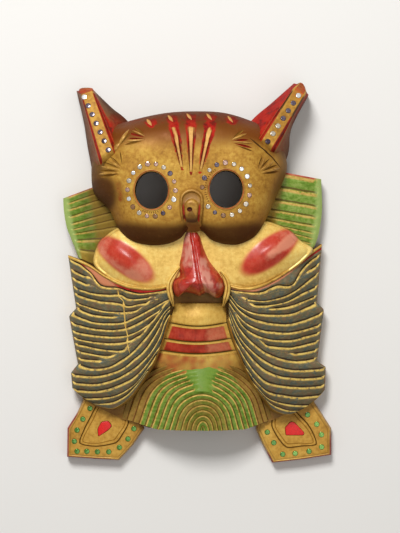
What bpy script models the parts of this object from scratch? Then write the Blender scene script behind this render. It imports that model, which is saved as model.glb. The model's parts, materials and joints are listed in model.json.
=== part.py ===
"""Owl mask carved from one block of soft wood, gilded and painted, with glass mirrors.

It lies on its flat back: X runs across the face, Y up the face and Z out of it. The
drawing below is in millimetres from a datum on the wood's middle line. The origin of
the model is under the middle of the whole mask, on the surface that it lies on.
"""
import math

import bmesh
import bpy
import numpy
from mathutils import Matrix, Vector
from mathutils.bvhtree import BVHTree

MM = 0.001
DATUM = Vector((0.0, 1.25, 0.0))     # the datum, from the middle of the whole mask
BURIED = -6.0                        # blocks run this deep before the back is planed flat
PLANE_SIZE = 400.0
FIT_GAP = 0.3                        # air between a mirror and its socket
CLEAR = 3.0                          # how far a socket's cutter stands out of the wood

# Block under all the carving, seen only at the bottom of the deep gaps
CORE_HEIGHT = 15.0                   # at its edge, below the panels and the wings
CORE_CROWN = 24.0                    # at its centre, under the mouth
CORE_CENTRE = (1, -25)
CORE_EDGE = [(-100, -111), (-89, -117), (-66, -128), (-42, -136), (2, -136), (45, -136),
             (61, -131), (89, -119), (97, -115), (98, -60), (98, 0), (95, 18), (72, 60),
             (55, 95), (-60, 100), (-80, 60), (-98, 14), (-98, -60)]

# Head: the rim with its height above the back, and the flat-fronted dome inside it
HEAD_CENTRE = (-5, 80)
HEAD_CROWN = 61.0
HEAD_FLATNESS = 4.5
HEAD_RIM = [(0, 138.7, 20), (25, 137, 20), (50, 129, 20), (66, 122, 20), (78, 112, 18),
            (80, 99, 18), (78, 86, 20), (67, 62, 27), (59, 45, 32), (50, 30, 33),
            (37, 23, 34), (24, 23, 36), (12, 27, 38), (3, 35, 40), (-8, 35, 40),
            (-15, 28, 38), (-27, 23, 36), (-42, 22, 34), (-57, 26, 33), (-68, 37, 32),
            (-76, 53, 28), (-89, 67, 22), (-93, 84, 18), (-94, 106, 18), (-84, 122, 20),
            (-60, 130, 20), (-29, 137, 20)]

# Ears: outlines from base to tip, then the flat strip that carries the mirrors
EAR_TIP_HEIGHT = 24.0
EAR_BODY = 0.8                       # share of the rows below the facet at the tip
EAR_TIP_PULL = 0.3                   # how far the tip draws the sides in
EARS = {
    "left": {
        "outer": [(-88, 72, 22), (-95, 106, 18), (-99, 130, 15), (-105.5, 157.5, 12)],
        "inner": [(-40, 104, 40), (-61, 131, 18), (-74, 142, 15), (-88.5, 156, 12)],
        "strip": [(-80, 90, 57), (-68, 96, 58), (-99.5, 152, 37), (-90, 155.5, 37)],
        "tip": [(-103, 158.8), (-91, 159.2)],
        "mirrors": [(-97.0, 149.5), (-75.6, 103.1)],
    },
    "right": {
        "outer": [(72, 84, 22), (79, 103, 18), (82, 125, 15), (97, 154, 12)],
        "inner": [(30, 104, 40), (46, 130, 18), (65, 147, 15), (84, 164, 12)],
        "strip": [(61, 100, 58), (51, 107, 57), (92.5, 152, 38), (82.5, 157, 38)],
        "tip": [(94, 158.5), (89.5, 164.8)],
        "mirrors": [(86.4, 150.6), (59.6, 110.2)],
    },
}
EAR_MIRROR_COUNT = 7

# Green wings: outer and inner ends of the cuts, from top to bottom
WING_HEIGHT = (25.0, 17.0)           # at the head, and at the outer edge
WING_STRIPS = 9
WING_CUT = 1.8
WING_SMOOTH = 0.9                    # the cuts end here, and the outer edge is smooth
WINGS = {
    "left": {"outer": [(-116.8, 63.5), (-116, 51.5), (-113.5, 38), (-110, 29), (-103.5, 12)],
             "inner": [(-74, 79), (-68, 66), (-64, 51), (-66, 36), (-78, 12)]},
    "right": {"outer": [(107.6, 80.2), (108.3, 54), (106, 36), (103, 25), (99, 17)],
              "inner": [(62, 88), (58, 62), (54, 46), (60, 36), (78, 16)]},
}

# Cheeks: gilded plates with a low ridge round the edge and one red boss each
CHEEK_CROWN = 40.0
CHEEK_RIDGE = 1.6
CHEEK_BOSS = 4.0
BOSS_RADII = (28.0, 12.0)
CHEEKS = {
    "left": {"centre": (-50, 12), "boss": (-60.5, 9.9), "boss_turn": -36.0,
             "edge": [(-68, 38, 34), (-79, 31, 31), (-86, 24, 28), (-89, 11, 27),
                      (-77, -1, 28), (-65, -8.4, 30), (-52, -12.5, 32), (-40, -14, 34),
                      (-29, -13.3, 36), (-20, -13, 37), (-8, -6, 38), (0, 12, 39),
                      (0, 42, 40), (-20, 45, 40), (-45, 45, 38)]},
    "right": {"centre": (52, 14), "boss": (62.6, 16.2), "boss_turn": 34.0,
              "edge": [(40, 46, 38), (57, 44, 34), (68, 41, 32), (80, 35.5, 30),
                       (89, 27, 28), (100, 19.5, 26), (92, 12, 27), (80, 2.3, 28),
                       (67.4, -6, 30), (55, -12.5, 32), (43, -15, 34), (31, -12.5, 36),
                       (20, -12, 37), (8, -6, 38), (-2, 12, 39), (-2, 42, 40),
                       (20, 45, 40)]},
}

# Nose: outline with the height of its edge, and the crest from the bridge to the bulb
NOSE_CENTRE = (1, -5)
NOSE_EDGE = [(-2, 33, 38), (-9, 30, 37), (-14, 19.5, 36), (-16.5, 5, 34), (-16, -3, 34),
             (-21, -8.5, 34), (-21, -16, 34), (-17.3, -22, 34), (-11, -18, 36),
             (-3, -19, 38), (2, -20.6, 38), (8, -18, 36), (15.8, -22.5, 34),
             (21, -20.5, 34), (23.5, -13, 34), (20.3, -3, 34), (11.4, 8.7, 35),
             (6, 20, 36), (2.8, 28, 37)]
BEAD_WIDTH = 1.7                     # half the width of the bead beside each nostril
BEADS = {"left": [(-15, 4, 40), (-21, -3, 40), (-25, -9, 40), (-26, -15, 40), (-22, -28, 38)],
         "right": [(21, 0, 40), (25.5, -6, 40), (27.5, -12, 40), (27, -17, 40), (23.5, -27, 38)]}
BEAD_SHOULDER = 2.5
NOSE_CREST = [(33, 44), (12, 49), (-10, 57), (-22, 54)]
NOSE_SHAPE = (2.4, 0.6)              # powers of the section across the nose

# Beak between the eyes: an arched frame round a tongue, both turning under below
BEAK_CENTRE = (-5, 53)
BEAK_EDGE = [(-5, 71), (-11, 69), (-14.5, 64), (-15, 54), (-14, 44), (-12, 36),
             (-8, 34), (-1, 34), (3, 36), (4, 44), (5, 54), (4.8, 64), (1, 69)]
BEAK_RINGS = [(1.0, 0.0), (0.84, 3.0), (0.66, 1.0), (0.54, 2.4), (0.0, 3.0)]
BEAK_CREST = [(72, 61), (58, 63), (48, 61), (34, 46)]

# Feather panels: strips counted from the cheek down, each ruled along smooth guides
# that run from the mouth's corner to the outer edge
PANEL_CUT = 2.4
PANEL_CREST = 0.25                   # where the crest lies within a strip
PANEL_SHALLOW = (0.35, 3.0)          # share of the cut at the mouth, and how fast it deepens
PANEL_FOLD = (8.2, -5.0)             # how far the inner wall leans out at its foot
PANEL_FOOT = 11.0                    # height of the wall's foot, inside the core
PANEL_ROLL = (0.7, 6.0)              # the last strips roll down: from this share, this fast
PANELS = {
    "left": {
        "height": [(0.0, 37), (0.35, 42), (0.7, 31), (1.0, 18)],
        "strips": [0, 1, 5, 9, 12, 16, 19],
        "guides": [
            [(-23, -10), (-39, -11), (-54, -9), (-72, -1), (-89, 10), (-107, 17)],
            [(-23.7, -16.8), (-39, -19.4), (-55, -16.8), (-73, -10), (-90, 3), (-110, 13)],
            [(-24.5, -18.5), (-36.6, -22), (-49, -25), (-65, -26), (-86.5, -21), (-108, -12)],
            [(-24.5, -22.5), (-35.7, -31.4), (-47, -38.5), (-65, -44), (-86.5, -43), (-107, -36)],
            [(-24.5, -26.5), (-32.5, -38), (-42, -49), (-58, -60), (-82, -64), (-107, -59)],
            [(-24.8, -32), (-31, -45), (-40.5, -59), (-56, -73), (-78, -84), (-106, -84)],
            [(-25.5, -45), (-29.5, -60), (-37, -78), (-49, -97), (-67, -112), (-100, -111)]],
        "tiers": [(14, -112.5), (-32, -105.5), (-38.5, -111.7), (-80.5, -104), (-88, -110),
                  (-103, -109), (-112, -100)],
    },
    "right": {
        "height": [(0.0, 37), (0.35, 42), (0.7, 31), (1.0, 18)],
        "strips": [0, 1, 4, 7, 10, 13, 16],
        "guides": [
            [(26.5, -9), (41, -12), (55, -9), (72, -1), (89, 12), (104, 23)],
            [(27.2, -16.8), (41, -18.5), (55, -16), (72, -8.2), (89, 5), (107.4, 20)],
            [(28, -19.5), (37, -23.5), (49, -26.5), (63, -27), (80, -22), (105, -11)],
            [(28, -24), (37.5, -33), (50, -40), (66, -43), (85, -41), (107, -35)],
            [(28.4, -29), (37.5, -43), (49, -55), (62.5, -64), (80, -68), (105, -62.5)],
            [(29.7, -39), (39, -57), (50.5, -72), (63.5, -83), (80.5, -89), (109, -89)],
            [(33, -62), (42, -84), (53, -101), (66, -112.5), (82, -118), (100, -114.5)]],
        "tiers": [(21, 108), (-27, 104), (-33, 110), (-78, 104), (-83, 111.5), (-101, 111),
                  (-115, 99.5)],
    },
}

# Chin, a rounded bar with three cuts across it: (height up the face, left and right side)
CHIN_SIDES = [(-27, -19, 24.5), (-46, -24, 25), (-60, -29, 29), (-72, -33.5, 34), (-90, -40, 42)]
CHIN_CREST = [(-8, 19), (-26.5, 19), (-27.5, 30), (-38, 34), (-60, 36), (-90, 36)]
CHIN_ROUND = 7.0
CHIN_CUTS = (-45.9, -59.4, -69.5)
CHIN_CUT_PROFILE = [(0.9, -0.2), (0.0, -1.0), (-1.8, 0.0)]   # (along the chin, share of the depth)
CHIN_CUT_DEPTH = 2.0
CHIN_FOOT = -1.5                     # share of the depth by which the last row dips

# Beard: arches between smooth guides, from the outermost one to a pleat in the middle
BEARD_ARCHES = 12
BEARD_CUT = 1.8
BEARD_SMOOTH = (0.45, 3.0)           # arches before this share fade out towards the middle
BEARD_GUIDES = [
    [(-67, -127.3, 14), (-56, -99, 22), (-33, -82.5, 30), (2.2, -75, 34), (34, -82.5, 30),
     (56, -102, 22), (66, -128.4, 14)],
    [(-35, -135.9, 31), (-24, -108, 36), (-10.7, -98, 38), (4.7, -95.3, 39), (19.3, -99.6, 38),
     (33, -111.6, 36), (41, -135.9, 31)],
    [(-0.4, -136, 42), (1.3, -126.8, 43), (3, -123, 43), (4.7, -121.6, 43), (6.4, -123, 43),
     (8.2, -126.8, 43), (9.9, -136, 42)],
    [(4.7, -136, 42), (4.7, -132, 43), (4.7, -129, 43), (4.7, -127, 43), (4.7, -129, 43),
     (4.7, -132, 43), (4.7, -136, 42)]]

# Feet: drafted plaques with one incised line, and a red glass drop in the middle
FOOT_HEIGHT = 13.0
FOOT_DRAFT = (0.91, 6.0)             # size of the top face, and height of the outer edge
FOOT_LINE = (1.5, 1.3)               # width and depth of the incised line
FEET = {
    "left": {
        "centre": (-79, -137),
        "edge": [(-99, -110), (-105.5, -124), (-113.8, -137), (-114.1, -162.2),
                 (-88.7, -163.9), (-68.6, -165), (-56, -151.5), (-46.8, -138),
                 (-50, -120), (-75, -105)],
        "line": [(-87, -115), (-94, -127), (-99.5, -138), (-103, -150), (-88, -153),
                 (-71, -150), (-64.5, -142), (-59.5, -132), (-61, -121), (-75, -111)],
        "mirrors": [(-93.7, -119.4), (-99.9, -128.7), (-104.9, -138.3), (-107.3, -148.1),
                    (-104.9, -156.8), (-96.4, -156.8), (-87.2, -157.2), (-77.3, -157.2),
                    (-68, -153.4), (-60.6, -146), (-55.4, -137.1)],
        "drop": [(-86.3, -143.8), (-86.9, -137.1), (-83.5, -131), (-77.7, -130.2),
                 (-74.6, -134.6), (-77.8, -138)],
    },
    "right": {
        "centre": (81, -138),
        "edge": [(101.3, -113), (109.7, -125.5), (117, -137), (117.1, -160.4),
                 (93.8, -164.1), (65.4, -167.4), (57, -151.5), (51.1, -138),
                 (53, -122), (76, -107)],
        "line": [(86.5, -118), (94.5, -130), (100, -139), (103.4, -150), (91.8, -151.7),
                 (78, -154), (70, -146), (64.2, -134.5), (66, -123), (76, -113)],
        "mirrors": [(95.9, -124.9), (103.9, -133.2), (108, -142.3), (108.2, -153),
                    (97.2, -156.8), (85.1, -158.6), (74.3, -159.3), (66.5, -149.3),
                    (60.8, -140.1)],
        "drop": [(77, -142.6), (76.4, -136), (81, -130.9), (84.3, -131.3), (92.9, -140.2),
                 (92.4, -142.6)],
    },
}
MIRROR_RADIUS = 2.2
MIRROR_THICKNESS = 1.4
MIRROR_PROUD = 0.4                   # how far a mirror stands above the wood
MIRROR_SIDES = 7

# Eye holes, each inside a ring of mirrors; the right ring is open towards the beak
EYE_RADII = (14.1, 15.9)
EYE_SIDES = 20
EYE_RING_RADII = (20.3, 22.3)
EYES = {
    "left": {"centre": (-38.8, 68.8), "first": 179.0, "step": -20.0, "count": 18},
    "right": {"centre": (24.3, 69.6), "first": 176.0, "step": -21.0, "count": 16},
}

# Hollow behind the face: (height up the face, middle, half width, depth of the roof)
HOLLOW_SHAPE = (3, 0.6)              # powers of the section across the hollow
HOLLOW = [(124, -6, 20, 8), (114, -7, 44, 30), (98, -7, 57, 43), (70, -7, 60, 46),
          (50, -6, 57, 40), (34, -4, 52, 24), (4, -2, 46, 20), (-18, 0, 36, 11),
          (-44, 2, 26, 12), (-66, 2, 16, 6)]

# Chisel cuts: start, end, width and depth, in threes of forehead flutes and ear roots
FLUTES = [((-21, 126), (-15, 88)), ((-5, 124), (-5, 86)), ((11, 126), (4, 88))]
FLUTE_SPREAD = 2.3
FLUTE_SIZE = (2.4, 2.2)
CROWN_CHIPS = [(-41, 127), (-23, 130.5), (-7, 132), (10, 132), (28, 130)]
CHIP_LENGTH = 9.0
CHIP_SIZE = (2.2, 1.8)
CHISEL_STEPS = 6
CHISEL_SPARE = 1.5                   # the blade is this much larger than the cut it leaves
EAR_ROOT_CUTS = [((-44, 118), (-58, 125)), ((-44, 116), (-60, 117)), ((-46, 113), (-60, 110)),
                 ((-66, 86), (-78, 95)), ((-66, 84), (-82, 88)), ((-66, 83), (-80, 82)),
                 ((28, 117), (44, 124)), ((28, 114), (46, 114)), ((30, 111), (46, 108)),
                 ((50, 84), (56, 96)), ((52, 83), (66, 92)), ((54, 81), (69, 85))]
ROOT_SIZE = (1.8, 1.8)
NOSE_GROOVE = ((-3, 30), (3.5, -19))
NOSE_GROOVE_SIZE = (1.6, 2.2)


def start_clean():
    """Remove whatever the file holds."""
    for item in list(bpy.data.objects):
        bpy.data.objects.remove(item)


def make_collection(name):
    """New collection linked to the scene."""
    group = bpy.data.collections.new(name)
    bpy.context.scene.collection.children.link(group)
    return group


def make_material(name, colour, roughness, metallic=0.0):
    """Principled material of one colour."""
    material = bpy.data.materials.new(name)
    material.use_nodes = True
    shader = material.node_tree.nodes["Principled BSDF"]
    shader.inputs["Base Color"].default_value = (*colour, 1.0)
    shader.inputs["Roughness"].default_value = roughness
    shader.inputs["Metallic"].default_value = metallic
    material.diffuse_color = (*colour, 1.0)
    return material


def smooth_point(knots, t, closed=False):
    """Point at t, from 0 to 1, on the Catmull-Rom curve through the knots."""
    knots = [Vector(knot) for knot in knots]
    count = len(knots)
    spans = count if closed else count - 1
    index = min(int(t * spans), spans - 1)
    s = t * spans - index
    if closed:
        a, b, c, d = (knots[(index + shift) % count] for shift in (-1, 0, 1, 2))
    else:
        b, c = knots[index], knots[index + 1]
        a = knots[index - 1] if index > 0 else 2 * b - c
        d = knots[index + 2] if index + 2 < count else 2 * c - b
    linear = (c - a) * s
    square = (2 * a - 5 * b + 4 * c - d) * s * s
    cube = (3 * b - a - 3 * c + d) * s ** 3
    return 0.5 * (2 * b + linear + square + cube)


def straight_point(corners, t):
    """Point at t, from 0 to 1, on the closed outline with these corners."""
    count = len(corners)
    index = int(t * count + 1e-6)
    s = t * count - index
    return Vector(corners[index % count]).lerp(Vector(corners[(index + 1) % count]), s)


def read_level(pairs, place):
    """Height read at a place from (place, height) pairs in any order."""
    pairs = sorted(pairs)
    return float(numpy.interp(place, [pair[0] for pair in pairs], [pair[1] for pair in pairs]))


def face_outwards(form):
    """Point every face of a closed form out of it."""
    bmesh.ops.recalc_face_normals(form, faces=form.faces[:])
    if form.calc_volume(signed=True) < 0:
        bmesh.ops.reverse_faces(form, faces=form.faces[:])


def link_hidden(name, form, group):
    """Turn a bmesh into a helper object that only the modifiers see."""
    face_outwards(form)
    mesh = bpy.data.meshes.new(name)
    form.to_mesh(mesh)
    form.free()
    item = bpy.data.objects.new(name, mesh)
    item.display_type = "WIRE"
    item.hide_render = True
    group.objects.link(item)
    return item


def carve_block(name, columns, rows, front, group, floor=BURIED):
    """Closed block under the front surface, a function of u and v that gives millimetres."""
    form = bmesh.new()
    bmesh.ops.create_grid(form, x_segments=columns, y_segments=rows, size=0.5)
    for vert in form.verts:
        vert.co = (front(vert.co.x + 0.5, vert.co.y + 0.5) + DATUM) * MM
    bmesh.ops.remove_doubles(form, verts=form.verts[:], dist=0.01 * MM)
    grown = bmesh.ops.extrude_face_region(form, geom=form.faces[:], use_keep_orig=True)
    for item in grown["geom"]:
        if isinstance(item, bmesh.types.BMVert):
            item.co.z = floor * MM
    return link_hidden(name, form, group)


def core_front(u, v):
    """Low cone with its top under the mouth."""
    edge = straight_point(CORE_EDGE, u)
    spot = Vector(CORE_CENTRE).lerp(edge, v)
    return Vector((spot.x, spot.y, CORE_CROWN + (CORE_HEIGHT - CORE_CROWN) * v))


def head_front(u, v):
    """Dome with a flat front: rings crowd towards the rim, where it turns back."""
    reach = math.sin(v * math.pi / 2)
    rim = smooth_point(HEAD_RIM, u, closed=True)
    spot = Vector(HEAD_CENTRE).lerp(rim.xy, reach)
    rise = math.sqrt(max(0.0, 1 - reach ** HEAD_FLATNESS))
    return Vector((spot.x, spot.y, rim.z + (HEAD_CROWN - rim.z) * rise))


def ear_strip(ear, along):
    """Left and right edge of the mirror strip at a place from base 0 to tip 1."""
    low_outer, low_inner, high_outer, high_inner = (Vector(p) for p in ear["strip"])
    return low_outer.lerp(high_outer, along), low_inner.lerp(high_inner, along)


def ear_front(ear):
    """Horn with four faces: outer side, mirror strip, inner side and a facet at the tip."""
    def front(u, v):
        column = round(u * 3)
        body = min(v / EAR_BODY, 1.0)
        outer = smooth_point(ear["outer"], body)
        inner = smooth_point(ear["inner"], body)
        spot = (outer, *ear_strip(ear, body), inner)[column]
        if v > 0.99 and column in (1, 2):
            spot = Vector((*ear["tip"][column - 1], EAR_TIP_HEIGHT))
        elif v > 0.99:
            pull = Vector((*ear["tip"][column // 3], spot.z)) - spot
            spot = spot + pull * EAR_TIP_PULL
        return spot
    return front


def saw_level(row, crest_share):
    """Strip number and relief of a row: even rows lie in a cut and odd rows on a crest."""
    return (row // 2, -1.0) if row % 2 == 0 else (row // 2 + crest_share, 0.0)


def wing_front(wing):
    """Slab with slanting cuts that stop short of its smooth outer edge."""
    def front(u, v):
        strip, relief = saw_level(round(v * WING_STRIPS * 2), PANEL_CREST)
        place = strip / WING_STRIPS
        inner = smooth_point(wing["inner"], place)
        outer = smooth_point(wing["outer"], place)
        spot = inner.lerp(outer, u)
        fade = 0.0 if u > WING_SMOOTH else 1.0
        height = WING_HEIGHT[0] + (WING_HEIGHT[1] - WING_HEIGHT[0]) * u * u
        return Vector((spot.x, spot.y, height + relief * WING_CUT * fade))
    return front


def cheek_front(cheek):
    """Low dome with a ridge inside its edge and a long raised boss."""
    boss = Vector(cheek["boss"])
    turn = Matrix.Rotation(math.radians(-cheek["boss_turn"]), 2)

    def front(u, v):
        edge = smooth_point(cheek["edge"], u, closed=True)
        spot = Vector(cheek["centre"]).lerp(edge.xy, v)
        local = turn @ (spot - boss)
        away = (local.x / BOSS_RADII[0]) ** 2 + (local.y / BOSS_RADII[1]) ** 2
        level = edge.z + (CHEEK_CROWN - edge.z) * (1 - v * v) + CHEEK_BOSS * max(0, 1 - away)
        if v > 0.99:
            level -= CHEEK_RIDGE
        return Vector((spot.x, spot.y, level))
    return front


def nose_front(u, v):
    """Long bridge that grows into a bulb with two wings."""
    edge = smooth_point(NOSE_EDGE, u, closed=True)
    spot = Vector(NOSE_CENTRE).lerp(edge.xy, v)
    crest = read_level(NOSE_CREST, spot.y)
    bulge, flank = NOSE_SHAPE
    rise = (1 - v ** bulge) ** flank
    return Vector((spot.x, spot.y, edge.z + (crest - edge.z) * rise))


def bead_front(guide):
    """Rounded bar along a guide."""
    def front(u, v):
        spot = smooth_point(guide, v)
        ahead = smooth_point(guide, min(v + 0.01, 1.0)) - smooth_point(guide, v - 0.01)
        across = Vector((ahead.y, -ahead.x, 0)).normalized()
        side = 2 * u - 1
        return spot + across * side * BEAD_WIDTH - Vector((0, 0, BEAD_SHOULDER * side ** 2))
    return front


def beak_front(u, v):
    """Arched frame, sunk line and tongue, over a crest that turns under."""
    size, relief = BEAK_RINGS[len(BEAK_RINGS) - 1 - round(v * (len(BEAK_RINGS) - 1))]
    edge = smooth_point(BEAK_EDGE, u, closed=True)
    spot = Vector(BEAK_CENTRE).lerp(edge, size)
    return Vector((spot.x, spot.y, read_level(BEAK_CREST, spot.y) + relief))


def panel_spot(panel, u, strip):
    """Place on a feather panel: u from the mouth's corner to the edge, strip from the cheek."""
    along = [smooth_point(guide, u) for guide in panel["guides"]]
    marks = panel["strips"]
    share = float(numpy.interp(strip, marks, range(len(marks)))) / (len(marks) - 1)
    spot = smooth_point(along, share)
    end = smooth_point([smooth_point(guide, 1.0) for guide in panel["guides"]], share)
    spot.x += (read_level(panel["tiers"], end.y) - end.x) * u ** 5
    return spot


def panel_front(panel):
    """Bulging panel of saw-toothed strips, with a wall leaning out at its lower side."""
    strips = panel["strips"][-1]
    side = 1 if panel["guides"][0][0][0] > 0 else -1
    lean = Vector((-side * PANEL_FOLD[0], PANEL_FOLD[1]))
    cut_start, cut_growth = PANEL_SHALLOW
    roll_start, roll_drop = PANEL_ROLL

    def front(u, v):
        row = round(v * (strips * 2 + 1))
        height = read_level(panel["height"], u)
        if row > strips * 2:
            spot = panel_spot(panel, u, strips).xy + lean * (1 - u ** 3)
            return Vector((spot.x, spot.y, PANEL_FOOT))
        strip, relief = saw_level(row, PANEL_CREST)
        spot = panel_spot(panel, u, min(strip, strips))
        depth = PANEL_CUT * min(1.0, cut_start + cut_growth * u)
        drop = roll_drop * max(0.0, strip / strips - roll_start)
        return Vector((spot.x, spot.y, height + relief * depth - drop))
    return front


def chin_rows():
    """Heights of the rows down the chin with their relief: three rows for each cut."""
    rows = [(place, 0.0) for place, _ in CHIN_CREST[:4]]
    for cut in CHIN_CUTS:
        rows += [(cut + along, relief) for along, relief in CHIN_CUT_PROFILE]
    return rows + [(CHIN_CREST[-1][0], CHIN_FOOT)]


def chin_front(u, v):
    """Bar rounded across, under the mouth."""
    rows = chin_rows()
    y, relief = rows[round(v * (len(rows) - 1))]
    left = read_level([(side[0], side[1]) for side in CHIN_SIDES], y)
    right = read_level([(side[0], side[2]) for side in CHIN_SIDES], y)
    x = left + (right - left) * u
    crest = read_level(CHIN_CREST, y) - CHIN_ROUND * (2 * u - 1) ** 2
    return Vector((x, y, crest + relief * CHIN_CUT_DEPTH))


def beard_front(u, v):
    """Arch over arch down to the pleat; the outer arches run out below the chin."""
    arch, relief = saw_level(round(v * BEARD_ARCHES * 2), PANEL_CREST)
    place = arch / BEARD_ARCHES
    spot = smooth_point([smooth_point(guide, u) for guide in BEARD_GUIDES], place)
    last, spread = BEARD_SMOOTH
    fade = max(0.0, 1 - abs(2 * u - 1) * spread) if place < last else 0.0
    spot.z += relief * BEARD_CUT * (1 - fade)
    return spot


def foot_front(foot):
    """Flat plaque with drafted sides and an incised line."""
    centre = Vector(foot["centre"])
    width, depth = FOOT_LINE

    def front(u, v):
        edge = straight_point(foot["edge"], u)
        line = straight_point(foot["line"], u)
        inward = (centre - line).normalized() * width
        rings = [(centre, FOOT_HEIGHT), (line + inward, FOOT_HEIGHT),
                 (line + inward / 2, FOOT_HEIGHT - depth), (line, FOOT_HEIGHT),
                 (centre.lerp(edge, FOOT_DRAFT[0]), FOOT_HEIGHT), (edge, FOOT_DRAFT[1])]
        spot, height = rings[round(v * (len(rings) - 1))]
        return Vector((spot.x, spot.y, height))
    return front


def hollow_front(u, v):
    """Roof of the hollow: an arch whose width and depth follow the face."""
    knots = [(y, middle, half, roof) for y, middle, half, roof in HOLLOW]
    y, middle, half, roof = smooth_point(knots, v)
    across = 2 * u - 1
    arch, flank = HOLLOW_SHAPE
    rise = max(0.0, 1 - abs(across) ** arch) ** flank
    return Vector((middle + half * across, y, roof * rise))


def carve_forms(group):
    """Every carved form, each a block of its own that the union joins."""
    head = carve_block("head_form", 36, 6, head_front, group)
    for side, ear in EARS.items():
        carve_block(f"ear_{side}_form", 3, 5, ear_front(ear), group, BURIED - 0.5)
    for side, wing in WINGS.items():
        carve_block(f"wing_{side}_form", 3, WING_STRIPS * 2, wing_front(wing), group, BURIED - 1.0)
    for side, cheek in CHEEKS.items():
        carve_block(f"cheek_{side}_form", 24, 5, cheek_front(cheek), group, BURIED - 1.5)
    for side, panel in PANELS.items():
        rows = panel["strips"][-1] * 2 + 1
        carve_block(f"panel_{side}_form", 8, rows, panel_front(panel), group, BURIED - 2.0)
    for side, foot in FEET.items():
        carve_block(f"foot_{side}_form", 20, 5, foot_front(foot), group, BURIED - 2.5)
    carve_block("nose_form", 24, 6, nose_front, group, BURIED - 3.0)
    for side, guide in BEADS.items():
        carve_block(f"bead_{side}_form", 2, 7, bead_front(guide), group, BURIED - 5.5)
    carve_block("beak_form", 18, len(BEAK_RINGS) - 1, beak_front, group, BURIED - 3.5)
    carve_block("chin_form", 6, len(chin_rows()) - 1, chin_front, group, BURIED - 4.0)
    carve_block("beard_form", 12, BEARD_ARCHES * 2, beard_front, group, BURIED - 4.5)
    return head


def surface_of(items):
    """Search tree over the fronts of some helper objects."""
    form = bmesh.new()
    for item in items:
        form.from_mesh(item.data)
    tree = BVHTree.FromBMesh(form)
    form.free()
    return tree


def drop_onto(tree, x, y):
    """Place and outward direction of the wood above a point of the drawing, in metres."""
    above = (Vector((x, y, 90.0)) + DATUM) * MM
    spot, normal, _, _ = tree.ray_cast(above, Vector((0, 0, -1)))
    return spot, normal if normal.z > 0 else -normal


def turn_to(spot, normal):
    """Matrix that carries a disc lying at the origin to a place on the wood."""
    return Matrix.Translation(spot) @ normal.to_track_quat("Z", "Y").to_matrix().to_4x4()


def disc_form(radius, low, high, sides=MIRROR_SIDES):
    """Closed disc between two heights along Z."""
    form = bmesh.new()
    place = Matrix.Translation((0, 0, (low + high) / 2 * MM))
    bmesh.ops.create_cone(form, cap_ends=True, segments=sides, radius1=radius * MM,
                          radius2=radius * MM, depth=(high - low) * MM, matrix=place)
    return form


def drop_form(foot, grow, low, high):
    """Closed flat drop, its outline grown outwards by a distance."""
    corners = [Vector(corner) for corner in foot["drop"]]
    middle = sum(corners, Vector((0, 0))) / len(corners)
    form = bmesh.new()
    verts = []
    for corner in corners:
        outward = (corner - middle).normalized() * grow
        spot = (corner + outward).to_3d() + DATUM + Vector((0, 0, low))
        verts.append(form.verts.new(spot * MM))
    face = form.faces.new(verts)
    grown = bmesh.ops.extrude_face_region(form, geom=[face], use_keep_orig=True)
    raised = [item for item in grown["geom"] if isinstance(item, bmesh.types.BMVert)]
    bmesh.ops.translate(form, verts=raised, vec=(0, 0, (high - low) * MM))
    return form


def chisel_form(tree, start, end, width, depth):
    """Spindle that follows the wood between two points and leaves a V-shaped cut in it."""
    form = bmesh.new()
    bmesh.ops.create_uvsphere(form, u_segments=4, v_segments=CHISEL_STEPS, radius=1.0)
    along = (Vector(end) - Vector(start)).to_3d().normalized()
    for vert in form.verts:
        share = math.acos(max(-1.0, min(1.0, vert.co.z))) / math.pi
        spot, outward = drop_onto(tree, *Vector(start).lerp(Vector(end), share))
        across = outward.cross(along).normalized() * vert.co.x * width * CHISEL_SPARE
        lift = vert.co.y * depth * CHISEL_SPARE + depth * (CHISEL_SPARE - 1) * vert.co.xy.length
        vert.co = spot + (across + outward * lift) * MM
    return form


def carve_cuts(tree, group):
    """Chisel cuts of the forehead, the ear roots and the nose."""
    cuts = []
    for start, end in FLUTES:
        for side in (-1, 1):
            shift = side * FLUTE_SPREAD
            cuts.append(((start[0] + shift, start[1]), (end[0] + shift * 0.5, end[1]), FLUTE_SIZE))
    for x, y in CROWN_CHIPS:
        cuts.append(((x - 0.8, y + CHIP_LENGTH / 2), (x + 0.8, y - CHIP_LENGTH / 2), CHIP_SIZE))
    cuts += [(start, end, ROOT_SIZE) for start, end in EAR_ROOT_CUTS]
    cuts.append((*NOSE_GROOVE, NOSE_GROOVE_SIZE))
    for number, (start, end, (width, depth)) in enumerate(cuts, 1):
        form = chisel_form(tree, start, end, width, depth)
        link_hidden(f"chisel_cut_{number:02d}", form, group)


def eye_ring_places(eye):
    """Places of the mirrors round an eye, on the drawing."""
    for index in range(eye["count"]):
        angle = math.radians(eye["first"] + index * eye["step"])
        x = eye["centre"][0] + EYE_RING_RADII[0] * math.cos(angle)
        y = eye["centre"][1] + EYE_RING_RADII[1] * math.sin(angle)
        yield x, y


def set_eye_mirrors(tree, group):
    """The small mirrors round the eyes, fused to the wood as low discs."""
    for side, eye in EYES.items():
        for number, (x, y) in enumerate(eye_ring_places(eye), 1):
            form = disc_form(MIRROR_RADIUS, -2.0, MIRROR_PROUD + 0.3, sides=6)
            form.transform(turn_to(*drop_onto(tree, x, y)))
            link_hidden(f"eye_mirror_{side}_{number:02d}_form", form, group)


def cut_eyes(group):
    """Oval holes right through the face."""
    for side, eye in EYES.items():
        form = disc_form(1.0, -30.0, 90.0, sides=EYE_SIDES)
        grow = Matrix.Diagonal((*EYE_RADII, 1.0, 1.0))
        place = Matrix.Translation((Vector((*eye["centre"], 0)) + DATUM) * MM)
        form.transform(place @ grow)
        link_hidden(f"eye_hole_{side}", form, group)


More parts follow.
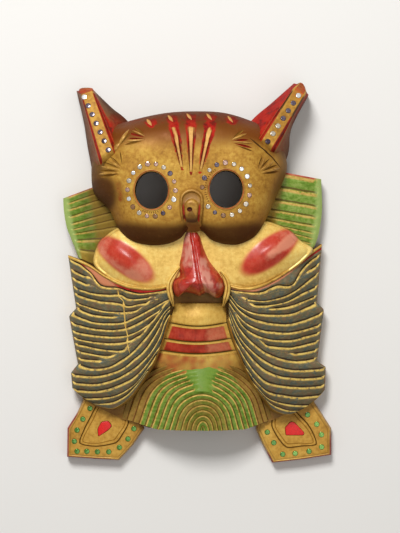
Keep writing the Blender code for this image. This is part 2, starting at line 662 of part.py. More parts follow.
def cut_back(group):
    """Hollow for the wearer's face, and the slab that planes the back flat."""
    carve_block("hollow", 10, 9, hollow_front, group, floor=-20.0)
    form = bmesh.new()
    place = Matrix.Translation((0, 0, -PLANE_SIZE / 2 * MM))
    bmesh.ops.create_cube(form, size=PLANE_SIZE * MM, matrix=place)
    link_hidden("back_plane", form, group)


def add_part(name, form, group, material):
    """Visible piece made from a bmesh."""
    face_outwards(form)
    mesh = bpy.data.meshes.new(name)
    form.to_mesh(mesh)
    form.free()
    mesh.materials.append(material)
    item = bpy.data.objects.new(name, mesh)
    group.objects.link(item)
    return item


def inlay(name, place, parts, sockets, material):
    """Mirror disc in its own socket, which is cut a little wider and deeper."""
    top = MIRROR_PROUD
    bottom = top - MIRROR_THICKNESS
    socket = disc_form(MIRROR_RADIUS + FIT_GAP, bottom - FIT_GAP, top + CLEAR)
    socket.transform(place)
    link_hidden(f"{name}_socket", socket, sockets)
    disc = disc_form(MIRROR_RADIUS, bottom, top)
    disc.transform(place)
    item = add_part(name, disc, parts, material)
    item.data.shade_smooth()
    item.data.set_sharp_from_angle(angle=math.radians(40))


def set_ear_mirrors(parts, sockets, material):
    """Seven mirrors in a row down the strip of each ear."""
    for side, ear in EARS.items():
        low_outer, low_inner, high_outer, high_inner = (Vector(p) for p in ear["strip"])
        normal = (high_outer - low_inner).cross(high_inner - low_outer).normalized()
        normal = normal if normal.z > 0 else -normal
        first, last = (Vector(p) for p in ear["mirrors"])
        for number in range(EAR_MIRROR_COUNT):
            spot = first.lerp(last, number / (EAR_MIRROR_COUNT - 1))
            anchor = (low_outer + low_inner + high_outer + high_inner) / 4
            rise = (normal.x * (spot.x - anchor.x) + normal.y * (spot.y - anchor.y)) / normal.z
            place = (Vector((spot.x, spot.y, anchor.z - rise)) + DATUM) * MM
            name = f"ear_mirror_{side}_{number + 1}"
            inlay(name, turn_to(place, normal), parts, sockets, material)


def set_foot_inlays(parts, sockets, mirror_material, glass_material):
    """Green mirrors round each foot, and the red glass drop in its middle."""
    for side, foot in FEET.items():
        for number, (x, y) in enumerate(foot["mirrors"], 1):
            place = Matrix.Translation((Vector((x, y, FOOT_HEIGHT)) + DATUM) * MM)
            inlay(f"foot_mirror_{side}_{number:02d}", place, parts, sockets, mirror_material)
        top = FOOT_HEIGHT + MIRROR_PROUD
        bottom = top - MIRROR_THICKNESS
        socket = drop_form(foot, FIT_GAP * 1.5, bottom - FIT_GAP, top + CLEAR)
        link_hidden(f"foot_drop_{side}_socket", socket, sockets)
        add_part(f"foot_drop_{side}", drop_form(foot, 0.0, bottom, top), parts, glass_material)


def add_boolean(item, name, operation, operands):
    """Boolean modifier with a whole collection as its other side."""
    modifier = item.modifiers.new(name, "BOOLEAN")
    modifier.operation = operation
    modifier.operand_type = "COLLECTION"
    modifier.collection = operands
    modifier.solver = "EXACT"


def main():
    start_clean()
    parts = make_collection("owl_mask")
    forms = make_collection("carved_forms")
    cutters = make_collection("cutters")
    hollows = make_collection("hollows")
    gilded_wood = make_material("gilded_wood", (0.55, 0.38, 0.10), 0.45)
    dark_mirror = make_material("dark_mirror", (0.22, 0.20, 0.34), 0.08, 1.0)
    green_mirror = make_material("green_mirror", (0.10, 0.45, 0.12), 0.10, 1.0)
    red_glass = make_material("red_glass", (0.75, 0.02, 0.01), 0.08)

    head = carve_forms(forms)
    nose = forms.objects["nose_form"]
    tree = surface_of([head, nose])
    set_eye_mirrors(tree, forms)
    carve_cuts(tree, cutters)
    cut_eyes(hollows)
    cut_back(hollows)
    set_ear_mirrors(parts, cutters, dark_mirror)
    set_foot_inlays(parts, cutters, green_mirror, red_glass)

    core = carve_block("core_form", len(CORE_EDGE), 1, core_front, forms, BURIED - 5.0)
    mask = bpy.data.objects.new("mask", core.data.copy())
    bpy.data.objects.remove(core)
    mask.data.materials.append(gilded_wood)
    parts.objects.link(mask)
    add_boolean(mask, "join carved forms", "UNION", forms)
    add_boolean(mask, "chisel cuts and sockets", "DIFFERENCE", cutters)
    add_boolean(mask, "hollow out the back and eyes", "DIFFERENCE", hollows)


main()
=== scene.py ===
import json
import math

import bmesh
import bpy
import numpy
from mathutils import Matrix, Vector, noise
from mathutils.bvhtree import BVHTree

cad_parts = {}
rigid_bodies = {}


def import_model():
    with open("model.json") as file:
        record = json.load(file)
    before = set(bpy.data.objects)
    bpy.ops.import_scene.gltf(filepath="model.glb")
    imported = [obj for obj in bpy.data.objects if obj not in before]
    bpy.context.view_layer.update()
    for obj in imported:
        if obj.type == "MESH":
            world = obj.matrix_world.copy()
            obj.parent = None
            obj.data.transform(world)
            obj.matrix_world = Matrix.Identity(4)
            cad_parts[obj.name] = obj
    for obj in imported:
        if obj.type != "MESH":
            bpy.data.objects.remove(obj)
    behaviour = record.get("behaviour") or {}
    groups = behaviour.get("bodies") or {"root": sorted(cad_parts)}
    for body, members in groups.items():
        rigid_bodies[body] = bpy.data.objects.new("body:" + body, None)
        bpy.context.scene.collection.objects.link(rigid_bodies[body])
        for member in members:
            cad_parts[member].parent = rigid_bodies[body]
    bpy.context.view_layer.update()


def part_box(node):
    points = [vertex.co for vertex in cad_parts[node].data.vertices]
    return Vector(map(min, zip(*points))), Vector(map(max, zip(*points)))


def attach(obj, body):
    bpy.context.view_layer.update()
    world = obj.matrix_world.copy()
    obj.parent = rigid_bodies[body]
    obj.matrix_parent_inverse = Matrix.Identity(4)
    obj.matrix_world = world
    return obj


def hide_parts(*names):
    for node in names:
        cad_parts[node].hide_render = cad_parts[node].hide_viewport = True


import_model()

mm = 0.001
datum = Vector((0.0, 1.25, 0.0))    # the drawing is in millimetres from a datum on the middle line
buried = -6.0                       # blocks run this deep before the back is planed flat
plain = (0.0, 0.0, 0.0, 0.0)        # paint of a corner: red, pale paint and painted sheen, brown wash and painted shade, gilding
sharp = {"wood": 40, "glass": 38}   # edges bent by more degrees than this stay sharp
midSlope = 0.6                      # place in a strip that is plain painted slope


# curves and small measures

# the place at share t of a smooth curve through the knots
def smoothPoint(knots, t, closed=False):
    knots = [Vector(knot) for knot in knots]
    count = len(knots)
    spans = count if closed else count - 1
    index = min(int(t * spans), spans - 1)
    s = t * spans - index
    if closed:
        a, b, c, d = (knots[(index + shift) % count] for shift in (-1, 0, 1, 2))
    else:
        b, c = knots[index], knots[index + 1]
        a = knots[index - 1] if index > 0 else 2 * b - c
        d = knots[index + 2] if index + 2 < count else 2 * c - b
    linear = (c - a) * s
    square = (2 * a - 5 * b + 4 * c - d) * s * s
    cube = (3 * b - a - 3 * c + d) * s ** 3
    return 0.5 * (2 * b + linear + square + cube)


# the place at share t of a polygon's edge, whose corners can be softened
def straightPoint(corners, t, softness=0.0):
    count = len(corners)
    index = int(t * count + 1e-6)
    s = t * count - index
    spot = Vector(corners[index % count]).lerp(Vector(corners[(index + 1) % count]), s)
    if softness:
        spot = spot.lerp(smoothPoint(corners, t % 1.0, closed=True), softness)
    return spot


def readLevel(pairs, place):
    pairs = sorted(pairs)
    return float(numpy.interp(place, [pair[0] for pair in pairs], [pair[1] for pair in pairs]))


def clamped(value):
    return max(0.0, min(1.0, value))


def ease(low, high, value):
    share = clamped((value - low) / (high - low))
    return share * share * (3 - 2 * share)


def ripple(spot, size, seed):
    return noise.noise(Vector((spot[0] / size, spot[1] / size, seed)))


def segmentAway(spot, start, end):
    start, end = Vector(start), Vector(end)
    span = end - start
    share = clamped((spot - start).dot(span) / span.length_squared)
    return (spot - start - span * share).length, share


def atHeight(spot, height):
    return Vector((spot.x, spot.y, height))


# finishes

def rgb(red, green, blue):
    def linear(value):
        value /= 255
        return value / 12.92 if value <= 0.04045 else ((value + 0.055) / 1.055) ** 2.4
    return (linear(red), linear(green), linear(blue), 1.0)


class NodeKit:
    def __init__(self, name):
        self.material = bpy.data.materials.new(name)
        self.material.use_nodes = True
        self.tree = self.material.node_tree
        self.shader = self.tree.nodes["Principled BSDF"]
        self.where = self.add("ShaderNodeTexCoord").outputs["Object"]

    def add(self, kind, values=None, **settings):
        node = self.tree.nodes.new(kind)
        for key, value in settings.items():
            setattr(node, key, value)
        for key, value in (values or {}).items():
            self.feed(node.inputs[key], value)
        return node

    def feed(self, socket, value):
        if isinstance(value, bpy.types.NodeSocket):
            self.tree.links.new(value, socket)
        else:
            socket.default_value = value

    def noise(self, scale, detail=3.0, roughness=0.55, stretch=None, shift=0.0):
        where = self.where
        if stretch or shift:
            move = self.add("ShaderNodeMapping", {"Vector": where})
            move.inputs["Scale"].default_value = stretch or (1, 1, 1)
            move.inputs["Location"].default_value = (shift, shift * 0.7, 0)
            where = move.outputs[0]
        values = {"Vector": where, "Scale": scale, "Detail": detail, "Roughness": roughness}
        return self.add("ShaderNodeTexNoise", values).outputs["Fac"]

    def give(self, key, value):
        self.feed(self.shader.inputs[key], value)

    def math(self, operation, a, b=0.0, c=0.0):
        node = self.add("ShaderNodeMath", operation=operation)
        for socket, value in zip(node.inputs, (a, b, c)):
            self.feed(socket, value)
        return node.outputs[0]

    def times(self, a, b):
        return self.math("MULTIPLY", a, b)

    def plus(self, a, b):
        return self.math("ADD", a, b)

    def scaled(self, value, gain, shift):
        return self.math("MULTIPLY_ADD", value, gain, shift)

    def weighed(self, first, share, second, rest):
        return self.plus(self.times(first, share), self.times(second, rest))

    def step(self, value, low, high):
        values = {"Value": value, "From Min": low, "From Max": high}
        node = self.add("ShaderNodeMapRange", values, interpolation_type="SMOOTHSTEP")
        return node.outputs["Result"]

    def ramp(self, value, stops):
        node = self.add("ShaderNodeValToRGB", {"Fac": value})
        elements = node.color_ramp.elements
        while len(elements) < len(stops):
            elements.new(0.5)
        for element, (place, colour) in zip(elements, stops):
            element.position = place
            element.color = colour if isinstance(colour, tuple) else (colour, colour, colour, 1)
        return node.outputs["Color"]

    # the mix node's sockets 6, 7 and 2 are its colours
    def mix(self, factor, a, b):
        node = self.add("ShaderNodeMix", data_type="RGBA")
        self.feed(node.inputs[0], factor)
        self.feed(node.inputs[6], a)
        self.feed(node.inputs[7], b)
        return node.outputs[2]

    def bump(self, height, distance, strength):
        values = {"Height": height, "Distance": distance, "Strength": strength}
        node = self.add("ShaderNodeBump", values)
        self.tree.links.new(node.outputs[0], self.shader.inputs["Normal"])


# how fine each pattern is, and how deep the bumps of each material are
grain = {"broad": 38, "cloudy": 130, "patchy": 310, "grainy": 1500, "streaky": 700,
         "brushed": 650, "rings": 160, "pores": 2600, "stain": 30, "smear": 900, "flaw": 2600}
bumpDepth = {"paint": 0.0007, "wood": 0.0006, "glass": 0.0002}


# the strips that the "carving" layer numbers: paint on the slope, darkened down it as painted shade,
# gold on the crest, a dark groove of wash and painted shade
def stripedGround(kit, look, ground, giltness, cloudy, patchy):
    deep = look["gilding"][0]
    lines = kit.add("ShaderNodeUVMap", uv_map="carving")
    across = kit.add("ShaderNodeSeparateXYZ", {"Vector": lines.outputs[0]}).outputs["Y"]
    phase = kit.math("FRACT", kit.plus(across, kit.scaled(cloudy, 0.16, -0.08)))
    first, second, third = look["band"]
    tint = kit.weighed(cloudy, 0.5, patchy, 0.5)
    band = kit.ramp(tint, [(0.42, first), (0.50, second), (0.58, third)])
    brushed = kit.noise(grain["brushed"], 3.0, 0.6, stretch=(0.2, 1.0, 1.0))
    band = kit.mix(kit.times(kit.step(brushed, 0.50, 0.66), 0.4), band, look["dry"])
    shade = kit.ramp(phase, [(0.38, 0.0), (0.55, 0.35), (0.86, 0.55), (0.97, 1.0)])
    band = kit.mix(kit.times(shade, look["bandShade"]), band, look["groove"])
    last = look["crestEnd"]
    crest = kit.ramp(phase, [(0.10, 0.0), (0.17, 1.0), (last, 1.0), (last + 0.09, 0.0)])
    rubbed = kit.step(patchy, 0.30, 0.44)
    gold = kit.ramp(patchy, [(0.38, look["crest"][0]), (0.58, look["crest"][1])])
    band = kit.mix(kit.times(crest, rubbed), band, gold)
    groove = kit.ramp(phase, [(0.0, 1.0), (0.07, 1.0), (0.15, 0.0), (0.93, 0.0), (0.99, 1.0)])
    gilt = kit.step(kit.plus(giltness, kit.scaled(cloudy, 0.7, -0.35)), 0.22, 0.78)
    metal = kit.math("MAXIMUM", gilt, kit.times(crest, rubbed))
    ground = kit.mix(gilt, band, kit.mix(kit.times(shade, 0.4), ground, deep))
    return kit.mix(kit.times(groove, look["grooveDepth"]), ground, look["groove"]), metal


# Painted wood: gesso, gilding and paint in soft patches, rubbed lines on the crests of the carving,
# dark wash and painted shade in its grooves and hollows, and painted sheen. The corners of the mesh
# carry where each one lies.
def paintedWood(name, look):
    kit = NodeKit(name)
    broad = kit.noise(grain["broad"], 2.0)
    cloudy = kit.noise(grain["cloudy"], 4.0, 0.6, shift=0.31)
    patchy = kit.noise(grain["patchy"], 5.0, 0.62, shift=0.77)
    grainy = kit.noise(grain["grainy"], 3.0, 0.6, shift=0.13)
    streaky = kit.noise(grain["streaky"], 3.0, 0.6, stretch=(1.0, 0.12, 1.0))
    coat = kit.add("ShaderNodeVertexColor", layer_name="paint")
    parts = kit.add("ShaderNodeSeparateColor", {"Color": coat.outputs["Color"]})
    redness, paleness, washAndShading = (parts.outputs[key] for key in ("Red", "Green", "Blue"))
    giltness = coat.outputs["Alpha"]

    tone = kit.weighed(broad, 0.45, patchy, 0.55)
    deep, middle, bright = look["gilding"]
    ground = kit.ramp(tone, [(0.30, deep), (0.49, middle), (0.69, bright)])
    ground = kit.mix(kit.times(kit.step(streaky, 0.52, 0.72), 0.25), ground, deep)
    metal = 1.0
    if "warm" in look:
        warmth = kit.scaled(giltness, -1.0, kit.scaled(patchy, 0.5, 0.75))
        ground = kit.mix(kit.times(kit.step(warmth, 0.1, 1.0), 0.9), ground, look["warm"])
    if "band" in look:
        ground, metal = stripedGround(kit, look, ground, giltness, cloudy, patchy)

    rough, soft = look["edges"]
    fringe = kit.scaled(patchy, 2 * rough, -rough)
    red = kit.step(kit.plus(redness, fringe), 0.5 - soft, 0.5 + soft)
    darkRed, midRed, paleRed = look["red"]
    spread = kit.weighed(cloudy, 0.7, streaky, 0.3)
    redTone = kit.ramp(spread, [(0.38, darkRed), (0.50, midRed), (0.64, paleRed)])
    ground = kit.mix(kit.times(red, 0.95), ground, redTone)
    # pale: paler paint, and on the nose, cheeks and chin a painted sheen
    pale = kit.step(kit.plus(paleness, kit.scaled(patchy, 0.7, -0.35)), 0.12, 0.88)
    ground = kit.mix(kit.times(pale, 0.85), ground, look["pale"])
    # brown wash, which also carries painted shade under overhangs, on sides turned away and in
    # recesses
    washAndShade = kit.step(kit.plus(washAndShading, kit.scaled(patchy, 0.5, -0.25)), 0.12, 0.92)
    washAndShade = kit.times(washAndShade, 0.92)
    ground = kit.mix(washAndShade, ground, look["washAndShade"])
    chipped = kit.times(kit.step(patchy, 0.60, 0.68), kit.step(grainy, 0.50, 0.62))
    ground = kit.mix(kit.times(chipped, look["wear"]), ground, look["primer"])
    specks = kit.step(grainy, 0.66, 0.74)
    ground = kit.mix(kit.times(specks, 0.35), ground, look["washAndShade"])
    kit.give("Base Color", ground)

    cover = kit.math("SUBTRACT", 1.0, kit.math("MAXIMUM", red, kit.times(washAndShade, 0.6)))
    kit.give("Metallic", kit.times(kit.times(cover, metal), look["metallic"]))
    dull = kit.scaled(cloudy, 0.35, look["roughness"] - 0.17)
    dull = kit.plus(dull, kit.times(red, look["matte"]))
    kit.give("Roughness", kit.plus(dull, kit.times(washAndShade, 0.15)))
    kit.give("Specular IOR Level", look["specular"])
    kit.give("Coat Weight", look["varnish"])
    kit.give("Coat Roughness", 0.22)
    relief = kit.weighed(patchy, 0.5, grainy, 0.25)
    relief = kit.plus(relief, kit.times(streaky, 0.35))
    kit.bump(relief, bumpDepth["paint"], look["bump"])
    return kit.material


giltLook = {
    "gilding": (rgb(118, 76, 26), rgb(164, 118, 46), rgb(198, 156, 68)),
    "red": (rgb(104, 5, 4), rgb(162, 12, 8), rgb(178, 38, 24)),
    "edges": (0.25, 0.16), "matte": 0.22,
    "pale": rgb(206, 158, 92), "washAndShade": rgb(66, 36, 12), "primer": rgb(140, 76, 46),
    "wear": 0.5, "metallic": 0.15, "roughness": 0.44, "specular": 0.28, "varnish": 0.05,
    "bump": 0.32,
}
headLook = dict(giltLook, gilding=(rgb(124, 82, 28), rgb(170, 124, 48), rgb(206, 166, 74)),
                warm=rgb(104, 46, 2), washAndShade=rgb(66, 32, 6), roughness=0.5, specular=0.14, varnish=0.0)
cheekLook = dict(giltLook, matte=0.0,
                 gilding=(rgb(196, 152, 66), rgb(230, 190, 98), rgb(244, 218, 128)),
                 red=(rgb(168, 20, 18), rgb(184, 32, 28), rgb(190, 62, 50)), wear=0.25, bump=0.35,
                 edges=(0.12, 0.38), pale=rgb(214, 138, 108), roughness=0.36, varnish=0.2)
chinLook = dict(cheekLook, gilding=(rgb(162, 122, 48), rgb(196, 156, 72), rgb(214, 180, 92)),
                red=(rgb(124, 8, 8), rgb(150, 18, 14), rgb(168, 48, 34)), pale=rgb(186, 112, 78),
                washAndShade=rgb(26, 13, 6), roughness=0.5, specular=0.15, varnish=0.02)
footLook = dict(giltLook, gilding=(rgb(136, 94, 32), rgb(184, 138, 56), rgb(212, 170, 80)),
                red=(rgb(120, 20, 14), rgb(158, 44, 30), rgb(182, 88, 60)), specular=0.16)
noseLook = dict(giltLook, matte=0.0,
                gilding=(rgb(160, 104, 44), rgb(200, 142, 66), rgb(220, 176, 92)),
                red=(rgb(140, 10, 14), rgb(176, 26, 26), rgb(194, 70, 60)), pale=rgb(206, 142, 122),
                varnish=0.45, roughness=0.34)
featherLook = dict(giltLook, gilding=(rgb(160, 112, 44), rgb(208, 166, 78), rgb(234, 200, 106)),
                   band=(rgb(98, 107, 96), rgb(122, 115, 84), rgb(136, 111, 84)),
                   dry=rgb(164, 152, 118), bandShade=0.62, groove=rgb(44, 28, 16),
                   grooveDepth=0.95, crestEnd=0.35, crest=(rgb(196, 156, 74), rgb(238, 206, 112)),
                   primer=rgb(132, 84, 74), pale=rgb(206, 128, 90), edges=(0.3, 0.2),
                   specular=0.2)
wingLook = dict(giltLook, gilding=(rgb(126, 100, 34), rgb(160, 132, 52), rgb(186, 160, 74)),
                band=(rgb(98, 134, 38), rgb(122, 154, 56), rgb(150, 172, 84)),
                dry=rgb(164, 184, 96), bandShade=0.3, groove=rgb(84, 58, 22), grooveDepth=0.85,
                crestEnd=0.32, crest=(rgb(176, 142, 64), rgb(206, 174, 94)), pale=rgb(154, 174, 98),
                red=(rgb(140, 44, 34), rgb(176, 76, 58), rgb(190, 110, 80)), specular=0.18)
beardLook = dict(wingLook, gilding=(rgb(118, 90, 36), rgb(156, 122, 54), rgb(186, 152, 74)),
                 band=(rgb(86, 124, 34), rgb(108, 142, 48), rgb(130, 156, 66)),
                 dry=rgb(146, 166, 84), groove=rgb(84, 56, 18), grooveDepth=0.9,
                 crest=(rgb(182, 140, 64), rgb(218, 180, 98)), crestEnd=0.31, pale=rgb(106, 138, 42))


def bareWood(name, look):
    kit = NodeKit(name)
    rings = kit.noise(grain["rings"], 4.0, 0.6, stretch=(1.0, 0.06, 1.0))
    pores = kit.noise(grain["pores"], 2.0, 0.5, stretch=(1.0, 0.05, 1.0))
    stain = kit.noise(grain["stain"], 3.0)
    tone = kit.ramp(rings, [(0.34, look["dark"]), (0.52, look["middle"]), (0.68, look["light"])])
    tone = kit.mix(kit.times(kit.step(pores, 0.55, 0.7), 0.4), tone, look["dark"])
    tone = kit.mix(kit.times(kit.step(stain, 0.45, 0.7), 0.5), tone, look["stain"])
    kit.give("Base Color", tone)
    kit.give("Roughness", kit.scaled(rings, 0.3, 0.5))
    kit.bump(kit.plus(rings, kit.times(pores, 0.5)), bumpDepth["wood"], 0.5)
    return kit.material


backLook = {"dark": rgb(92, 60, 34), "middle": rgb(134, 94, 56), "light": rgb(164, 122, 78),
            "stain": rgb(80, 54, 32)}

paints = {
    "gilt": paintedWood("gilded_wood", giltLook),
    "head": paintedWood("gilded_head", headLook),
    "cheek": paintedWood("gilded_cheek", cheekLook),
    "chin": paintedWood("gilded_chin", chinLook),
    "foot": paintedWood("gilded_foot", footLook),
    "nose": paintedWood("red_nose", noseLook),
    "feather": paintedWood("grey_feathers", featherLook),
    "wing": paintedWood("green_wing", wingLook),
    "beard": paintedWood("green_beard", beardLook),
    "back": bareWood("bare_back", backLook),
}
print("finishes ready")


# carving tools

def outwardMesh(name, form, material):
    bmesh.ops.recalc_face_normals(form, faces=form.faces[:])
    if form.calc_volume(signed=True) < 0:
        bmesh.ops.reverse_faces(form, faces=form.faces[:])
    mesh = bpy.data.meshes.new(name)
    form.to_mesh(mesh)
    form.free()
    mesh.materials.append(material)
    return mesh


def linkItem(name, data, group=bpy.context.scene.collection):
    item = bpy.data.objects.new(name, data)
    group.objects.link(item)
    return item


def linkHelper(name, form, material, group):
    return linkItem(name, outwardMesh(name, form, material), group)


def coatAll(form, paint=plain):
    form.loops.layers.uv.new("carving")
    coat = form.loops.layers.float_color.new("paint")
    for face in form.faces:
        for loop in face.loops:
            loop[coat] = paint(loop.vert.co) if callable(paint) else paint


def extrude(form, faces):
    grown = bmesh.ops.extrude_face_region(form, geom=faces, use_keep_orig=True)
    return [item for item in grown["geom"] if isinstance(item, bmesh.types.BMVert)]


# A block under a front surface. front(u, v) gives the place in millimetres, the strip number
# and the paint. Its sides, which run straight down, take the paint called sides.
def carveBlock(name, columns, rows, front, material, group, floor, sides=(0, 0, 0.4, 1)):
    form = bmesh.new()
    bmesh.ops.create_grid(form, x_segments=columns, y_segments=rows, size=0.5)
    lines = form.loops.layers.uv.new("carving")
    coat = form.loops.layers.float_color.new("paint")
    for vert in form.verts:
        u, v = vert.co.x + 0.5, vert.co.y + 0.5
        spot, strip, paint = front(u, v)
        vert.co = (spot + datum) * mm
        for loop in vert.link_loops:
            loop[lines].uv = (u, strip)
            loop[coat] = paint
    bmesh.ops.remove_doubles(form, verts=form.verts[:], dist=0.002 * mm)
    lowered = set(extrude(form, form.faces[:]))
    for vert in lowered:
        vert.co.z = floor * mm
    for face in form.faces:
        below = sum(vert in lowered for vert in face.verts)
        if 0 < below < len(face.verts):
            for loop in face.loops:
                loop[coat] = sides
                loop[lines].uv = (0.5, midSlope)
    return linkHelper(name, form, material, group)


def surfaceOf(items):
    form = bmesh.new()
    for item in items:
        form.from_mesh(item.data)
    tree = BVHTree.FromBMesh(form)
    form.free()
    return tree


def dropOnto(tree, x, y):
    above = (Vector((x, y, 90.0)) + datum) * mm
    spot, normal, _, _ = tree.ray_cast(above, Vector((0, 0, -1)))
    return spot, normal if normal.z > 0 else -normal


def turnTo(spot, normal):
    return Matrix.Translation(spot) @ normal.to_track_quat("Z", "Y").to_matrix().to_4x4()


def discForm(radius, low, high, sides):
    form = bmesh.new()
    place = Matrix.Translation((0, 0, (low + high) / 2 * mm))
    bmesh.ops.create_cone(form, cap_ends=True, segments=sides, radius1=radius * mm,
                          radius2=radius * mm, depth=(high - low) * mm, matrix=place)
    return form


def bevelEdges(form, edges, offset, segments=3, clamp=False):
    bmesh.ops.bevel(form, geom=edges, offset=offset * mm, offset_type="OFFSET", segments=segments,
                    profile=0.5, affect="EDGES", clamp_overlap=clamp, material=-1)


def bevelRim(form, top, offset):
    rim = [edge for edge in form.edges if all(vert.co.z > (top - 0.01) * mm for vert in edge.verts)]
    bevelEdges(form, rim, offset)


# A place is across, along and, where it has a third number, up. A crest says how far along,
# then how high. A grid says how many cells a front has each way.

# the head, with its flutes and chips

head = {
    "grid": (208, 50), "centre": (-5, 80), "crown": 61.0, "flatness": 4.5, "waviness": 0.35,
    "rim": [(0, 138.7, 20), (25, 137, 20), (50, 129, 20), (65, 121, 17), (75, 112, 14),
            (77, 99, 15), (77, 86, 20), (67, 62, 27), (59, 45, 32), (50, 30, 33),
            (37, 23, 34), (24, 23, 36), (12, 27, 38), (3, 35, 40), (-8, 35, 40),
            (-15, 28, 38), (-27, 23, 36), (-42, 22, 34), (-57, 26, 33), (-68, 37, 32),
            (-76, 53, 28), (-89, 67, 22), (-92, 84, 18), (-90, 106, 13), (-82, 122, 15),
            (-60, 130, 20), (-29, 137, 20)],
}
flutes = {"lines": [((-20, 124), (-13, 87)), ((-5.4, 125), (-5.4, 83)), ((11, 124), (2.4, 84))],
          "spread": 2.1, "splay": (1.2, 0.5), "width": 0.55, "depth": 1.3}
chips = {"places": [(-41, 127), (-23, 130.5), (-7, 132), (10, 132), (28, 130)],
         "lean": (2.3, -3.3), "width": 1.35, "depth": 1.7}


def headPaint(spot, reach):
    flat = spot.xy
    # the brown is darker towards the top, and is painted shade under the eye lobes, on the sides that
    # turn away and in the left temple
    top = ease(112, 136, spot.y) * 0.6
    under = ease(50, 33, spot.y) * (0.5 + 0.5 * ease(0.5, 0.88, reach))
    left = ease(-68, -84, spot.x) * 0.7
    right = ease(48, 72, spot.x) * ease(0.80, 0.97, reach) * 0.55
    temple = 0.95 * (1 - ease(0.4, 1.15, math.hypot((spot.x + 83) / 20, (spot.y - 66) / 22)))
    washAndShade = max(top, under, left, right, temple)
    red = 0.44 * ease(112, 130, spot.y)
    for x, y in chips["places"]:
        away = (flat - Vector((x + 1.4, y - 1.2))).length
        red = max(red, 0.95 - ease(2.5, 6.0, away))
    pale = 0.0
    for (start, end), weight in zip(flutes["lines"], (0.9, 0.8, 1.1)):
        start, end = Vector(start), Vector(end)
        away, share = segmentAway(flat, start, end)
        width = 7.0 - 3.0 * share + 1.5 * ripple(spot, 7, 18.0)
        halo = weight * (1 - ease(0.35, 1.0, away / width)) * ease(1.0, 2.2, away)
        red = max(red, halo * (1 - 0.3 * ease(0.3, 0.7, share)) * (1 - 0.5 * ease(0.75, 0.95, share)))
        away, _ = segmentAway(flat, start + (end - start) * 0.04, start + (start - end) * 0.16)
        red = max(red, 1.0 - ease(1.2, 4.4, away))
        away, share = segmentAway(flat, start + (end - start) * 0.08, end)
        inner = 2.0 - 1.1 * share
        pale = max(pale, 0.7 * (1 - ease(0.55, 1.15, away / inner)) * (1 - ease(0.9, 1.0, share)))
        red = max(red, 0.8 - ease(0.8, 2.6, (flat - end).length))
    # a red line beside the left temple, with painted shade along it
    away, _ = segmentAway(flat, (-66.5, 74), (-65, 62))
    red = max(red, 0.5 - 0.5 * ease(0.0, 8.0, away) + 0.1 * ripple(spot, 4, 23.0))
    washAndShade = max(washAndShade, 0.45 * ease(7.0, 1.0, away))
    warm = 0.9 * ease(93, 120, spot.y) + 0.4 * ease(0.7, 0.95, reach)
    return (red * (1 - pale), pale, washAndShade * (1 - pale), 1.0 - min(warm, 1.0) * (1 - pale))


def headFront(u, v):
    reach = math.sin(v * math.pi / 2)
    rim = smoothPoint(head["rim"], u, closed=True)
    spot = Vector(head["centre"]).lerp(rim.xy, reach)
    rise = math.sqrt(max(0.0, 1 - reach ** head["flatness"]))
    spot = atHeight(spot, rim.z + (head["crown"] - rim.z) * rise)
    spot.z += head["waviness"] * (ripple(spot, 14, 1.0) + 0.5 * ripple(spot, 5, 2.0)) * (1 - v ** 8)
    return spot, v, headPaint(spot, reach)


# ears: outer side, mirror strip between grooves, inner side and a facet at the tip

ears = {
    "rows": 45, "body": 0.8, "tip": 0.2, "tipHeight": 24.0,
    "left": {
        "outer": [(-88, 72, 22), (-95, 106, 18), (-99, 130, 15), (-105.5, 157.5, 12)],
        "inner": [(-40, 104, 40), (-61, 131, 18), (-74, 142, 15), (-88.5, 156, 12)],
        "strip": [(-80, 90, 57), (-68, 96, 58), (-99.5, 152, 37), (-90, 155.5, 37)],
        "tip": [(-103, 158.8), (-91, 159.2)],
        "mirrors": [(-97.0, 149.5), (-75.6, 103.1)],
        "finish": ["bright", "smoky", "smoky", "smoky", "smoky", "dark", "smoky"],
    },
    "right": {
        "outer": [(72, 84, 22), (79, 103, 18), (82, 125, 15), (97, 154, 12)],
        "inner": [(30, 104, 40), (46, 130, 18), (65, 147, 15), (84, 164, 12)],
        "strip": [(61, 100, 58), (51, 107, 57), (92.5, 152, 38), (82.5, 157, 38)],
        "tip": [(94, 158.5), (89.5, 164.8)],
        "mirrors": [(86.4, 150.6), (59.6, 110.2)],
        "finish": ["bright", "smoky", "smoky", "smoky", "silver", "silver", "dark"],
    },
}
# place across the three faces, depth of the groove there, red and wash
earSection = [
    (0.0, 0, 0.35, 0.7), (0.25, 0, 0.4, 0.5), (0.5, 0, 0.42, 0.35), (0.72, 0, 0.42, 0.2),
    (0.80, -0.3, 0.3, 0.0), (0.86, 0.0, 0.9, 0.1), (0.91, 1.6, 1.0, 0.35), (0.97, 1.5, 1.0, 0.35),
    (1.03, 0.0, 0.8, 0.1), (1.12, -0.2, 0, 0), (1.3, 0, 0, 0), (1.5, 0, 0, 0), (1.7, 0, 0, 0),
    (1.88, -0.2, 0.0, 0.0), (1.96, 0.1, 0.8, 0.0), (2.01, 1.5, 1.0, 0.45), (2.05, 1.5, 1.0, 0.45),
    (2.09, -0.2, 0.5, 0.0), (2.13, -0.1, 0.7, 0.0), (2.17, 1.3, 1.0, 0.4), (2.22, 0.1, 0.7, 0.1),
    (2.35, 0, 0.35, 0.3), (2.6, 0, 0.35, 0.5), (2.8, 0, 0.25, 0.7), (3.0, 0, 0.2, 0.8)]


def stripCorners(side):
    return [Vector(place) for place in ears[side]["strip"]]


